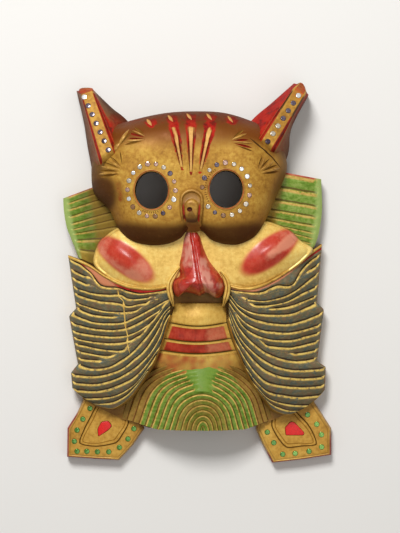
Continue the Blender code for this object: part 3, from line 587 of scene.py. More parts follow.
def earPaint(side, place, body, fade, red, washAndShade):
    if side == "right":
        if 0.84 < place < 1.05 or 1.94 < place < 2.08:
            washAndShade = max(washAndShade, 0.9 * ease(0.58, 0.66, body) * fade)
            red *= 1 - 0.8 * ease(0.58, 0.66, body)
        if place > 2.15:
            red, washAndShade = 0.98, 0.05 + 0.25 * ease(0.5, 0.1, body)
        elif 1.05 < place < 1.95:
            red = max(red, 0.46 * ease(0.62, 0.95, body))
        elif place < 0.85:
            red = max(red, 0.55 * ease(0.35, 0.8, body))
    elif place > 2.2:
        red = max(red, 0.55 * ease(0.5, 0.1, abs(body - 0.35)))
    return red, 0.0, washAndShade, 1 - 0.8 * max(ease(0.95, 0.7, place), ease(2.2, 2.4, place))


def earFront(side):
    ear = ears[side]
    lowOuter, lowInner, highOuter, highInner = stripCorners(side)
    columns = len(earSection) - 1

    def front(u, v):
        place, depth, red, washAndShade = earSection[round(u * columns)]
        body = min(v / ears["body"], 1.0)
        corners = [smoothPoint(ear["outer"], body), lowOuter.lerp(highOuter, body),
                   lowInner.lerp(highInner, body), smoothPoint(ear["inner"], body)]
        face = min(int(place), 2)
        spot = corners[face].lerp(corners[face + 1], place - face)
        fade = ease(0.0, 0.07, v) * (1 - ease(0.93, 1.0, body))
        spot.z -= depth * fade
        spot.z += 0.25 * ripple(spot, 9, 3.0) - 9.0 * ease(0.12, 0.0, v) ** 1.5
        tip = max(0.0, (v - ears["body"]) / ears["tip"])
        if tip:
            share = clamped(place - 1)
            high = Vector(ear["tip"][0]).lerp(Vector(ear["tip"][1]), share)
            high = high.lerp(corners[1].lerp(corners[2], share).xy, 0.2 * abs(2 * share - 1) ** 3)
            outside = max(1 - place, place - 2, 0.0)
            target = atHeight(high, ears["tipHeight"] + (spot.z - ears["tipHeight"]) * outside)
            spot = spot.lerp(target, tip * (1 - 0.7 * outside))
        red, washAndShade = red * fade, max(washAndShade * (0.4 + 0.6 * fade), 0.75 * ease(0.07, 0.01, v))
        if tip:
            red, washAndShade = 0.55, 0.15
        return spot, v, earPaint(side, place, body, fade, red, washAndShade)
    return front


# wings and feather panels: strips with a steep upper side, a gold crest and a slope

saw = [(0.0, -1.0), (0.07, -0.82), (0.14, -0.34), (0.21, -0.03), (0.28, 0.0), (0.37, -0.1),
       (0.55, -0.4), (0.76, -0.72), (0.92, -0.93)]
crestEnd = saw[5][0]
wings = {
    "columns": 34, "strips": 9, "cut": 1.8, "height": (25.0, 17.0),
    "left": {"outer": [(-116.8, 63.5), (-116, 51.5), (-113.5, 38), (-110, 29), (-103.5, 12)],
             "inner": [(-74, 79), (-68, 66), (-64, 51), (-66, 33), (-77, 1)]},
    "right": {"outer": [(107.6, 80.2), (108.3, 54), (106, 36), (103, 25), (99, 17)],
              "inner": [(62, 88), (58, 62), (54, 46), (60, 36), (78, 16)]},
}


def sawLevel(row):
    phase, relief = saw[row % len(saw)]
    return row // len(saw) + phase, relief


def wingFront(side):
    wing = wings[side]
    rows = wings["strips"] * len(saw)

    def front(u, v):
        strip, relief = sawLevel(round(v * rows))
        place = strip / wings["strips"]
        spot = smoothPoint(wing["inner"], place).lerp(smoothPoint(wing["outer"], place), u)
        fade = 1 - ease(0.86, 0.95, u + 0.02 * ripple((strip, u), 1.0, 7.0))
        high, low = wings["height"]
        height = high + (low - high) * u * u - 1.2 * ease(0.95, 1.0, u)
        height += relief * wings["cut"] * fade + 0.3 * ripple(spot, 8, 4.0)
        start = 0.42 if side == "right" else 0.66
        gilt = max(ease(start, start - 0.3, u) * 0.9, ease(0.72, 1.0, place) * 0.8)
        top = ease(0.35 / wings["strips"], 0.0, place) * 0.75
        strip = strip if u < 0.93 else int(strip) + midSlope
        washAndShade = 0.46 if side == "left" else 0.1
        paint = (top, ease(0.80, 0.97, u) * 0.9, washAndShade * ease(0.9, 0.6, u), gilt)
        return atHeight(spot, height), strip, paint
    return front


# The points of ridge, lines and edge say how far out from the middle line, then how far along
# it. A line begins as far out as its first number says, or runs the whole way when that is 0.
# The tiers give the outer end: how far along, then how far out.
panels = {
    "columns": 70, "cut": 2.7, "lead": 1.1, "crestReach": 6.4, "begin": 8.0, "spread": 1.6,
    "border": 2.6, "fold": (8.2, -5.0), "foot": 11.0, "wallRows": 7, "ridge": 3.0,
    "height": [(0.0, 37), (0.26, 42), (0.61, 31), (1.0, 18)],
    "left": {
        "side": -1, "reach": (23.5, 106.0),
        "ridge": [(23, -10.5), (32, -12.6), (41, -13.2), (50, -12.8), (60, -11.2), (70, -7.4),
                  (80, -1.8), (90, 5.8), (100, 11.4), (110, 16)],
        "lines": [
            (0, [(23, -15.5), (32, -17.5), (41, -19), (50, -19.5), (59, -17.5), (69, -14.5),
                 (78, -14), (83, -12), (86, -8), (89, -3), (93, 1), (98, 6), (110, 12)]),
            (87, [(86, -8.5), (89, -6), (95, -4.5), (102, -1), (110, 3.5)]),
            (88, [(86, -14.5), (91, -13.5), (98, -9.5), (110, -4.5)]),
            (33, [(30, -19), (35, -21.5), (50, -24), (60, -23.5), (65, -20.5), (79, -20.5),
                  (89, -19.5), (98, -17), (110, -12)]),
            (37, [(35, -26), (50, -28.5), (59, -30.5), (66, -28), (84, -26), (96, -23),
                  (110, -18)]),
            (45, [(43, -31.5), (50, -33.5), (59, -35), (69, -35.5), (79, -35), (91, -32.5),
                  (107, -27.5)]),
            (65, [(62, -39), (69, -39.5), (79, -39), (91, -37), (106, -32)]),
            (0, [(23, -23), (30, -27), (40, -32.5), (50, -38), (59, -42.5), (65, -44.5),
                 (77, -45), (87, -44.5), (96, -41), (107, -35.5)]),
            (25, [(24, -27), (28, -31), (35, -35.5), (50, -44), (59, -48.5), (65, -50),
                  (74, -51), (87, -50), (96, -48), (110, -43.5)]),
            (30, [(28, -33), (38, -42), (48, -50), (59, -55), (69, -56.5), (84, -56),
                  (96, -54.5), (110, -51.5)]),
            (41, [(39, -48), (43, -51), (52, -56.5), (59, -60), (69, -62), (84, -62),
                  (96, -60.5), (110, -57)]),
            (56, [(54, -63), (58, -65), (65, -68), (74, -68.5), (87, -67), (96, -65), (109, -63)]),
            (68, [(66, -72.5), (70, -73), (84, -73), (94, -71.5), (109, -68.5)]),
            (80, [(78, -78), (83, -77.5), (94, -77), (107, -76)]),
            (0, [(23, -30), (28, -35), (33, -41.5), (40, -51.5), (48, -61), (57, -70.5),
                 (67, -77.5), (77, -83), (89, -84.5), (102, -82), (109, -80.5)]),
            (0, [(23, -33), (28, -38), (33, -48.5), (38, -57), (45, -67), (55, -76), (65, -84),
                 (77, -89), (89, -91), (109, -90)]),
            (0, [(23, -35.5), (28, -43.5), (31, -53), (36, -63), (43, -73), (54, -83),
                 (65, -90.5), (77, -95.5), (89, -98), (109, -96.5)]),
            (0, [(25, -46), (31, -61), (34, -67), (40, -75.5), (48, -85), (55, -91.5),
                 (65, -97), (77, -102), (89, -104), (103, -103.5)]),
            (0, [(36, -72), (40, -79), (45, -87), (52, -96), (59, -101.5), (69, -107),
                 (79, -109.5), (91, -110.5)]),
            (0, [(43, -86), (48, -93), (55, -101), (61, -107), (71, -112.5), (85, -115.5)])],
        "edge": [(23, -36), (26, -44.5), (29, -55), (32, -64), (36, -74), (40, -82),
                 (46, -91.5), (52, -100.5), (57, -107), (65, -114), (72, -118), (79, -118),
                 (89, -114.5), (98, -109), (104, -103.5), (110, -96.5)],
        "tiers": [(14, 112.5), (-32, 105.5), (-38.5, 111.7), (-80.5, 104), (-88, 110),
                  (-125, 107)],
    },
    "right": {
        "side": 1, "reach": (27.0, 106.0),
        "ridge": [(26.5, -10.5), (35, -12.8), (45, -13), (55, -10.6), (64, -6.6), (73, -1.4),
                  (81.5, 4.6), (90, 11.6), (98, 18), (106, 24)],
        "lines": [
            (0, [(27, -15.5), (36, -17.5), (50, -18.5), (57, -17.5), (62, -15), (69, -12.5),
                 (79, -13), (84, -10), (87, -3.5), (91, 2.5), (97, 8.5), (108, 16)]),
            (91, [(89, -7), (92, -4), (98, 1), (109, 9)]),
            (35, [(33, -20), (37, -21.5), (45, -24.5), (55, -26), (64, -25), (79, -20.5),
                  (89, -14.5), (98, -7), (108, 0)]),
            (42, [(40, -26.5), (45, -28.5), (55, -29.5), (67, -29), (79, -26), (91, -19.5),
                  (107, -12.5)]),
            (58, [(56, -33), (60, -33), (69, -32), (79, -30.5), (91, -27), (106, -21.5)]),
            (0, [(27, -19), (31, -24.5), (35, -29.5), (45, -35), (55, -37), (69, -37.5),
                 (79, -37), (91, -32.5), (107, -26.5)]),
            (0, [(27, -22.5), (30, -26.5), (36, -33.5), (45, -39.5), (55, -43), (69, -45.5),
                 (79, -45.5), (91, -42.5), (109, -35)]),
            (0, [(27, -27), (31, -32.5), (37, -40.5), (45, -46.5), (55, -50.5), (67, -52.5),
                 (79, -53), (91, -51), (109, -45)]),
            (30, [(28, -33), (31, -36), (40, -48), (50, -54.5), (59, -58), (69, -59.5),
                  (81, -59.5), (94, -56.5), (109, -52.5)]),
            (51, [(49, -59), (53, -60.5), (61, -64), (71, -65.5), (81, -66), (92, -64),
                  (108, -60)]),
            (77, [(75, -71.5), (79, -72), (89, -71), (107, -68)]),
            (0, [(27, -31.5), (31, -39.5), (35, -47), (42, -56), (50, -63.5), (59, -70),
                 (69, -74.5), (79, -77), (89, -78), (106, -76)]),
            (0, [(27, -34), (30, -42.5), (34, -52.5), (40, -61.5), (50, -71), (59, -77.5),
                 (69, -82.5), (81, -85.5), (94, -85.5), (112, -84.5)]),
            (0, [(27, -37), (30, -47.5), (35, -58.5), (42, -68.5), (50, -77.5), (59, -85.5),
                 (69, -90), (79, -92), (91, -93), (112, -91)]),
            (0, [(29, -51), (33, -60), (38, -70), (45, -80.5), (52, -89), (60, -95.5),
                 (71, -98.5), (81, -100), (94, -100.5), (112, -99)]),
            (0, [(36, -71.5), (40, -79.5), (47, -90.5), (55, -99.5), (61, -104), (71, -106.5),
                 (81, -108.5), (91, -109), (107, -107.5)]),
            (0, [(44, -89), (48, -95.5), (54, -103), (59, -108.5), (67, -112.5), (77, -115),
                 (90, -116.5)]),
            (0, [(52, -103), (59, -111), (65, -115.5), (73, -119), (80, -121), (94, -122)])],
        "edge": [(27, -40.5), (30, -52.5), (34, -65), (38, -75), (42, -84), (46, -92.5),
                 (52, -102), (58, -109.5), (63, -116.5), (70, -121.5), (79, -123.5),
                 (87, -120.5), (94, -116.5), (99.5, -112), (104.5, -105.5), (110, -96.5)],
        "tiers": [(21, 108), (-27, 104), (-33, 110), (-78, 104), (-83, 111.5), (-101, 111),
                  (-125, 107)],
    },
}


# how far along the mask a line lies at one place across, eased through its points
def lineLevel(points, place):
    step = sum(place >= point[0] for point in points[1:-1])
    before = points[max(step - 1, 0)]
    start, end = points[step], points[step + 1]
    after = points[min(step + 2, len(points) - 1)]
    width = end[0] - start[0]
    t = clamped((place - start[0]) / width)
    rise = (end[1] - before[1]) / (end[0] - before[0]) * width
    fall = (after[1] - start[1]) / (after[0] - start[0]) * width
    square, cube = 3 * t * t - 2 * t ** 3, t ** 3 - t * t
    return start[1] + (end[1] - start[1]) * square + rise * (cube - t * t + t) + fall * cube


# where each line is, with those that haven't begun yet spread evenly between their neighbours
def panelLevels(panel, reach):
    active = [ease(start, start + panels["begin"], reach) if start else 1.0
              for start, _ in panel["lines"]]
    levels = [lineLevel(points, reach) for _, points in panel["lines"]]
    for line, share in enumerate(active):
        if share < 1:
            after = active.index(1.0, line)
            between = levels[line - 1] + (levels[after] - levels[line - 1]) / (after - line + 1)
            levels[line] = between + (levels[line] - between) * share
    ridge = lineLevel(panel["ridge"], reach)
    edge = lineLevel(panel["edge"], reach)
    grooves = [level + panels["lead"] for level in levels]
    return active, [ridge, ridge - panels["ridge"]] + grooves + [edge]


# what stays the same all along one column of a panel
def panelColumn(panel, u):
    low, high = panel["reach"]
    reach = low + (high - low) * u ** panels["spread"]
    active, grooves = panelLevels(panel, reach)
    stride = 0.4
    _, ahead = panelLevels(panel, reach + stride)
    slants = [math.cos(math.atan((later - here) / stride)) for here, later in zip(grooves, ahead)]
    return {"reach": reach, "active": active, "grooves": grooves, "slants": slants}


# how far a place lies through its feather, with the crest kept narrow on a wide feather
def featherPhase(column, top, bottom, level):
    grooves = column["grooves"]
    width = max(grooves[top] - grooves[bottom], 0.01)
    breadth = width * column["slants"][top]
    stretch = min(1.0, panels["crestReach"] / breadth)
    share = clamped((grooves[top] - level) / width)
    crest = crestEnd * stretch
    if share <= crest:
        return share / stretch, breadth
    return crestEnd + (share - crest) / (1 - crest) * (1 - crestEnd), breadth


# the other way round: where a feather has a phase
def featherPlace(column, strip, phase):
    grooves = column["grooves"]
    width = grooves[strip] - grooves[strip + 1]
    stretch = min(1.0, panels["crestReach"] / max(width * column["slants"][strip], 0.01))
    crest = crestEnd * stretch
    share = phase * stretch
    if phase > crestEnd:
        share = crest + (phase - crestEnd) / (1 - crestEnd) * (1 - crest)
    return grooves[strip] - width * share


# phase and relief at a place, counting only the lines that have begun by more than lowest
def featherShape(column, strip, level, lowest):
    last = len(column["active"]) + 2
    carved = [0, 1] + [line + 2 for line, share in enumerate(column["active"]) if share > lowest]
    top = max(line for line in carved if line <= strip)
    bottom = min([line for line in carved if line > strip] + [last])
    phase, breadth = featherPhase(column, top, bottom, level)
    depth = panels["cut"] * min(1.0, breadth / 4.5)
    return phase, readLevel(saw + [(1.0, -1.0)], phase) * depth


# Each kind of strip gives its relief, its strip number and its paint: first the gilt ridge,
# then the painted strip under it, then the feathers.
def ridgeStrip(phase):
    relief = 0.5 - 1.8 * abs(2 * phase - 1) ** 2.2
    return relief, 0.5, (0.0, 0.0, 0.6 * ease(0.33, 0.5, abs(phase - 0.5)), 1.2)


def underStrip(side, phase, below, reach):
    dip = ease(0.8, 1.0, phase)
    if side == "left":
        red = ease(2.6, 1.6, below)
        red = max(red * ease(84, 62, reach), red * ease(90, 97, reach)) * 0.9
        pale = 0.95 * ease(50, 62, reach) * (1 - red)
    else:
        red = 0.85 * ease(2.4, 1.4, below) * ease(84, 92, reach)
        pale = 0.8 * ease(2.2, 1.4, below) * (1 - red)
        pale = max(pale, 0.7 * ease(58, 46, reach))
    paint = (red, pale, 0.75 * ease(0.5, 0.0, below), 0.0)
    return -1.0 - 0.8 * dip, midSlope + 0.4 * dip, paint


def featherStrip(column, strip, level):
    line = strip - 2
    phase, relief = featherShape(column, strip, level, 0.0)
    share = min([share for share in column["active"][line:line + 2] if share > 0] + [1.0])
    if share < 1:
        plainPhase, plainRelief = featherShape(column, strip, level, 0.999)
        phase = plainPhase + (phase - plainPhase) * share
        relief = plainRelief + (relief - plainRelief) * share
    return relief, strip + min(phase, 0.999), plain


def panelFront(side):
    panel = panels[side]
    strips = len(panel["lines"]) + 2
    carved = strips * len(saw)
    outward = panel["side"]
    lean = Vector((-outward * panels["fold"][0], panels["fold"][1]))
    columns = {}

    def front(u, v):
        if u not in columns:
            columns[u] = panelColumn(panel, u)
        column = columns[u]
        row = round(v * (carved + panels["wallRows"]))
        strip, step = divmod(min(row, carved - 1), len(saw))
        phase = saw[step][0]
        lowEdge = column["grooves"][-1]
        if strip > 1:
            level = featherPlace(column, strip, phase)
        else:
            upper, lower = column["grooves"][strip:strip + 2]
            level = upper + phase * (lower - upper)
        level = max(level, lowEdge) if row < carved else lowEdge
        reach = column["reach"]
        if strip == 0:
            relief, tone, paint = ridgeStrip(phase)
        elif strip == 1:
            relief, tone, paint = underStrip(side, phase, column["grooves"][1] - level, reach)
        else:
            relief, tone, paint = featherStrip(column, strip, level)
        red, pale, washAndShade, gilt = paint
        spot = Vector((outward * reach, level))
        relief *= 1 + 0.18 * ripple(spot, 7, 6.0)
        outer = readLevel(panel["tiers"], level)
        spot.x += outward * (outer - panel["reach"][1]) * u ** 5
        inside = (outer - abs(spot.x)) if strip > 1 else panels["border"]
        border = ease(panels["border"], panels["border"] * 0.4, inside)
        if strip > 1:
            relief += (-1.0 - relief) * border
            tone += (strip + midSlope - tone) * border
            red = 0.42 * border
            washAndShade = max(0.3 * border, 0.22 * ease(-50, -112, level))
        height = readLevel(panels["height"], u ** panels["spread"]) + relief
        height -= 2.0 * ease(-85, -120, level)
        height += 0.3 * ripple(spot, 11, 8.0) - 1.4 * ease(0.97, 1.0, u)
        if row >= carved:
            share = (row - carved) / panels["wallRows"]
            spot += lean * (1 - u ** 2) * share ** 1.4
            height += (panels["foot"] - height) * share ** 0.8
            tone, washAndShade, red, gilt = strip + midSlope, 0.3 + 0.4 * share, 0.1, 1.0
        return atHeight(spot, height), tone, (red, pale, washAndShade, gilt)
    return front


# cheeks: a rim round a low boss

cheeks = {
    "grid": (120, 34), "crown": 40.0, "ridge": 1.6, "boss": 4.0, "radii": (31.5, 12.8),
    "left": {"centre": (-50, 12), "boss": (-62.3, 10.8), "turn": -36.0,
             "edge": [(-68, 38, 34), (-79, 31, 31), (-86, 24, 28), (-90, 7, 27),
                      (-78, -5, 29), (-66, -11.5, 31), (-52, -15, 33), (-40, -16, 35),
                      (-29, -15, 36), (-20, -13, 37), (-8, -6, 38), (0, 12, 39),
                      (0, 42, 40), (-20, 45, 40), (-45, 45, 38)]},
    "right": {"centre": (52, 14), "boss": (62.3, 17.0), "turn": 36.5,
              "edge": [(40, 46, 38), (57, 44, 34), (68, 41, 32), (80, 35.5, 30),
                       (89, 27, 28), (100, 19.5, 26), (93, 10, 27), (81, 0.5, 28),
                       (68, -8, 30), (55.5, -14.2, 32), (43, -16.4, 34), (31, -14.5, 36),
                       (20, -12, 37), (8, -6, 38), (-2, 12, 39), (-2, 42, 40),
                       (20, 45, 40)]},
}


def cheekFront(side):
    cheek = cheeks[side]
    boss = Vector(cheek["boss"])
    turn = Matrix.Rotation(math.radians(-cheek["turn"]), 2)

    def front(u, v):
        edge = smoothPoint(cheek["edge"], u, closed=True)
        reach = 1 - (1 - v) ** 1.25
        spot = Vector(cheek["centre"]).lerp(edge.xy, reach)
        local = turn @ (spot - boss)
        away = math.hypot(local.x / cheeks["radii"][0], local.y / cheeks["radii"][1])
        level = edge.z + (cheeks["crown"] - edge.z) * (1 - reach ** 2)
        level += cheeks["boss"] * (1 - ease(0.15, 1.05, away))
        rim = 1 - ease(0.0, 0.035, abs(reach - 0.95))
        level += 0.9 * rim * ease(-16, -9, edge.y - 0.1 * abs(edge.x))
        level -= cheeks["ridge"] * ease(0.965, 1.0, reach)
        level -= 0.6 * (1 - ease(0.0, 0.03, abs(reach - 0.895)))
        level += 0.3 * ripple(spot, 12, 9.0)
        red = 1.0 - ease(0.66, 1.24, away)
        # pale is a painted sheen on the red patch: on the left along its lower side and both ends, on
        # the right a streak and the outer end
        if side == "left":
            pale = 0.62 * ease(-0.1, -0.8, local.y / 12) + 0.6 * ease(4, 14, local.x)
            pale += 0.5 * ease(-12, -22, local.x)
        else:
            pale = 0.85 * (1 - ease(1.0, 6.0, abs(local.y + 2.5))) * ease(-14, 2, local.x)
            pale += 0.45 * ease(4, 18, local.x)
        pale *= 1 - ease(0.7, 1.1, away)
        washAndShade = 0.55 * (1 - ease(0.0, 0.02, abs(reach - 0.895)))
        washAndShade = max(0.7 * ease(0.972, 0.998, reach), washAndShade)
        return atHeight(spot, level), v, (red, min(pale, 0.9), washAndShade, 1.0)
    return front


# nose, the beads beside it and the beak

nose = {
    "grid": (120, 36), "centre": (1, -5), "shape": (2.4, 0.6),
    "edge": [(-5, 37, 42), (-10.5, 31.5, 40), (-14, 19.5, 36), (-16.5, 5, 34), (-16, -3, 34),
             (-21, -8.5, 34), (-21, -16, 34), (-17.3, -22, 34), (-11, -18, 36),
             (-3, -19, 38), (2, -20.6, 38), (8, -18, 36), (15.8, -22.5, 34),
             (21, -20.5, 34), (23.5, -13, 34), (20.3, -3, 34), (11.4, 8.7, 35),
             (6, 20, 36), (1.5, 31, 40)],
    "crest": [(37, 44), (30, 46), (12, 49), (-10, 57), (-22, 54)],
    "groove": ((-5, 33), (3.5, -19)),
    "nostrils": [(-13.5, -13), (15.5, -13)],
}
beads = {"grid": (12, 44), "half": 2.5, "shoulder": 2.0,
         "left": [(-14.5, 4, 42), (-19.8, -3, 42), (-23.2, -9, 42.5), (-24, -15, 42.5),
                  (-22.6, -22, 42), (-20.5, -30, 36)],
         "right": [(19.5, 0, 42), (23.8, -6, 42), (25.8, -12, 42.5), (25.6, -17, 42.5),
                   (24.2, -23, 42), (22, -30, 36)]}


def noseFront(u, v):
    edge = smoothPoint(nose["edge"], u, closed=True)
    spot = Vector(nose["centre"]).lerp(edge.xy, v)
    crest = readLevel(nose["crest"], spot.y)
    bulge, flank = nose["shape"]
    rise = (1 - v ** bulge) ** flank
    height = edge.z + (crest - edge.z) * rise
    for place in nose["nostrils"]:
        away = (spot - Vector(place)).length
        height += 1.6 * (1 - ease(1.5, 8.0, away)) * rise
    away, share = segmentAway(spot, *nose["groove"])
    height -= 1.5 * (1 - ease(0.2, 2.0, away))
    height += 0.35 * ripple(spot, 6, 10.0)
    side = spot.x - (nose["groove"][0][0] + 8.5 * share)
    # pale is a painted highlight on the nose: a patch on the left flank, a streak on the right flank
    # and a spot by the right nostril
    pale = 0.0
    if side < -2:
        pale = 0.85 * ease(-1, 8, spot.y) * (1 - ease(3.5, 8, abs(side + 6)))
    elif side > 1.5:
        apart = abs(side - 5 - 0.1 * (8 - spot.y))
        pale = 0.95 * ease(18, 6, spot.y) * (1 - ease(2.5, 6.5, apart))
    pale = max(pale, 0.75 * (1 - ease(1.5, 4.5, (spot - Vector((19, -12))).length)))
    pale *= 0.55 + 0.45 * ease(-0.25, 0.25, ripple((spot.x, spot.y * 0.4), 2.6, 21.0))
    red = 1.0 - 0.75 * ease(31, 35, spot.y)
    washAndShade = 0.7 * (1 - ease(0.4, 1.3, away)) * 0.5 + 0.2 * ease(0.93, 1.0, v)
    return atHeight(spot, height), v, (red, pale * (away > 1.6), washAndShade, 1.0)


def beadFront(guide):
    def front(u, v):
        spot = smoothPoint(guide, v)
        ahead = smoothPoint(guide, min(v + 0.01, 1.0)) - smoothPoint(guide, max(v - 0.01, 0.0))
        across = Vector((ahead.y, -ahead.x, 0)).normalized()
        side = 2 * u - 1
        taper = 0.35 + 0.65 * ease(0.0, 0.25, v) * ease(1.0, 0.75, v)
        spot = spot + across * side * beads["half"] * taper
        spot.z -= beads["shoulder"] * side ** 4 + 1.4 * (1 - ease(0.0, 0.35, abs(side)))
        shade = 0.75 * (1 - ease(0.02, 0.25, abs(side)))
        return spot, v, (shade * 0.6, 0.0, shade, 1.0)
    return front


# its rings say how far out and how high
beak = {
    "grid": (84, 36), "centre": (-5, 53),
    "edge": [(-5, 71), (-11, 69), (-14.5, 64), (-15, 54), (-14, 44), (-12, 36),
             (-8, 34), (-1, 34), (3, 36), (4, 44), (5, 54), (4.8, 64), (1, 69)],
    "rings": [(0.0, 3.0), (0.30, 3.0), (0.45, 2.8), (0.54, 2.2), (0.60, 0.7), (0.68, 0.5),
              (0.76, 0.9), (0.80, 2.4), (0.86, 2.9), (0.93, 2.3), (1.0, 0.0)],
    "crest": [(72, 61), (58, 63), (48, 61), (40, 54), (34, 43)],
    "mouthHole": (-6.5, 52.4), "mouthRadii": (2.3, 2.0), "mouthDepth": (-2.2, 3.0),
    "mouthSides": 20,
}


def beakFront(u, v):
    ring = smoothPoint(beak["rings"], v)
    edge = smoothPoint(beak["edge"], u, closed=True)
    inward = 0.22 * ease(56, 68, edge.y) * ease(0.78, 0.6, ring.x)
    spot = Vector(beak["centre"]).lerp(edge, max(0.0, ring.x * (1 - inward)))
    low = ease(39.5, 35.5, edge.y)
    relief = ring.y + (2.8 * ease(1.0, 0.45, ring.x) - ring.y) * low
    height = readLevel(beak["crest"], spot.y) + relief
    sunk = (1 - ease(0.05, 0.11, abs(ring.x - 0.68))) * (1 - low)
    red = sunk * (0.36 + 0.6 * ease(59, 51, spot.y))
    # the brown is a wash in the sunk groove, and painted shade on the lower part and tip, which turn
    # under
    washAndShade = max(sunk * 0.42, ease(50, 42, spot.y) * 0.85 * ease(0.66, 0.58, ring.x), 0.5 * low)
    return atHeight(spot, height), v, (red, 0.0, washAndShade, 1.0)


# chin with its three cuts, and the pleated beard

# its sides say how far along, then the left and the right edge; its profile, the shape of a cut
chin = {
    "columns": 44,
    "sides": [(-27, -19, 24.5), (-46, -24, 25), (-60, -29, 29), (-72, -33.5, 34), (-90, -40, 42)],
    "crest": [(-8, 19), (-26.5, 19), (-27.5, 30), (-38, 34), (-60, 36), (-90, 36)],
    "round": 7.0, "cuts": (-45.9, -59.4, -69.5), "depth": 2.0,
    "profile": [(1.6, 0.0), (0.9, -0.2), (0.35, -0.8), (0.0, -1.0), (-0.6, -0.45), (-1.2, 0.05),
                (-1.8, 0.2), (-2.6, 0.05)],
}


def chinRows():
    rows = [(-8.0, 0.0), (-20.0, 0.0), (-26.5, 0.0), (-26.9, 0.0), (-27.5, 0.0)]
    y = -29.0
    while y > -88:
        if not any(cut - 3.2 < y < cut + 2.2 for cut in chin["cuts"]):
            rows.append((y, 0.0))
        y -= 1.4
    for cut in chin["cuts"]:
        rows += [(cut + along, relief) for along, relief in chin["profile"]]
    return sorted(rows, reverse=True) + [(-90.0, -1.5)]


chinLevels = chinRows()


def chinFront(u, v):
    y, relief = chinLevels[round(v * (len(chinLevels) - 1))]
    left = readLevel([(side[0], side[1]) for side in chin["sides"]], y)
    right = readLevel([(side[0], side[2]) for side in chin["sides"]], y)
    x = left + (right - left) * u
    bend = (3.0 * math.sin(math.pi * u) - 1.8) * ease(-30, -44, y)
    height = readLevel(chin["crest"], y) - chin["round"] * (2 * u - 1) ** 2
    height += relief * chin["depth"] * ease(0.0, 0.08, u) * ease(1.0, 0.92, u)
    height += 0.3 * ripple((x, y), 7, 11.0) - 5.0 * ease(-76, -90, y) * abs(2 * u - 1) ** 1.5
    first, second, third = chin["cuts"]
    inside = ease(left + 1.5, left + 4.5, x) * ease(right - 1.5, right - 4.5, x)
    red = 0.0
    if third + 0.8 < y < second - 2.0 or second + 0.8 < y < first - 2.0:
        red = inside
    smear = 0.4 * ripple((x, y), 6, 12.0)
    if y < third - 2.5:
        red = 0.5 + smear - 0.18 * ease(-12, 6, x)
    # pale is a painted sheen on the right of the red stripes; the brown is a wash in the cuts, darker
    # towards the bottom and the lower sides, and painted shade in the recess under the nose
    pale = 0.6 * ease(2, 12, x) * red * ease(-71, -69, y)
    line = max(0.0, -relief)
    washAndShade = max(0.85 * line, 0.3 * ease(-71, -77, y), 0.9 * ease(-27.2, -26.5, y))
    washAndShade = max(washAndShade, 0.5 * (1 - inside) * ease(-60, -75, y))
    return Vector((x, y - bend, height)), v, (red, pale, washAndShade, 1.0)


beard = {
    "columns": 110, "arches": 15, "marks": [0, 6, 10, 14, 15], "cut": 1.9,
    "smooth": (0.53, 3.4),
    "guides": [
        [(-67, -127.3, 14), (-56, -99, 22), (-33, -82.5, 30), (2.2, -75, 34), (34, -82.5, 30),
         (56, -102, 22), (66, -128.4, 14)],
        [(-35, -135.9, 31), (-24, -108, 36), (-10.7, -98, 38), (4.7, -95.3, 39),
         (19.3, -99.6, 38), (33, -111.6, 36), (41, -135.9, 31)],
        [(-14.5, -136, 41), (-11, -124.5, 42), (-4.5, -116.5, 43), (4.7, -113.5, 43.5),
         (13.6, -116.5, 43), (19.3, -124.5, 42), (22, -136, 41)],
        [(2.7, -136, 43), (3.1, -134.2, 43), (3.8, -132.4, 43), (4.7, -131.5, 43.5),
         (5.6, -132.4, 43), (6.3, -134.2, 43), (6.7, -136, 43)],
        [(4.7, -136, 43), (4.7, -135.2, 43), (4.7, -134.4, 43), (4.7, -133.6, 43),
         (4.7, -134.4, 43), (4.7, -135.2, 43), (4.7, -136, 43)]],
}


def beardFront(u, v):
    arch, relief = sawLevel(round(v * beard["arches"] * len(saw)))
    place = arch / beard["arches"]
    marks = beard["marks"]
    step = min(sum(arch >= mark for mark in marks) - 1, len(marks) - 2)
    share = (arch - marks[step]) / (marks[step + 1] - marks[step])
    outer, inner = (smoothPoint(guide, u) for guide in beard["guides"][step:step + 2])
    spot = outer.lerp(inner, share)
    last, spread = beard["smooth"]
    flank = abs(2 * u - 1)
    middle = flank + 0.05 * ripple(spot, 5, 19.0)
    fade = max(0.0, 1 - middle * spread) * (1 - ease(last - 0.03, last, place))
    fade = ease(0.0, 0.8, fade)
    spot.z += relief * beard["cut"] * (1 - fade) * (1 + 0.2 * ripple(spot, 6, 13.0))
    spot.z += 0.3 * ripple(spot, 10, 14.0)
    limit = 0.09 + 0.12 * ease(0.1, 0.6, flank)
    gilt = 1 - ease(limit - 0.03, limit + 0.03, place)
    gilt = max(gilt, 0.5 * ease(0.48, 0.62, place) * ease(1.0, 0.82, place))
    washAndShade = 0.45 * ease(0.13, 0.02, place) * ease(0.12, 0.4, flank)
    red = 0.44 * ease(0.45, 1.0, -relief) * (1 - fade) * ease(0.62, 0.4, place)
    strip = int(arch)
    arch += (strip + midSlope - arch) * ease(0.2, 0.8, fade)
    return spot, arch, (red, fade * 0.8, washAndShade, gilt)


# feet: a tapered block with an incised line

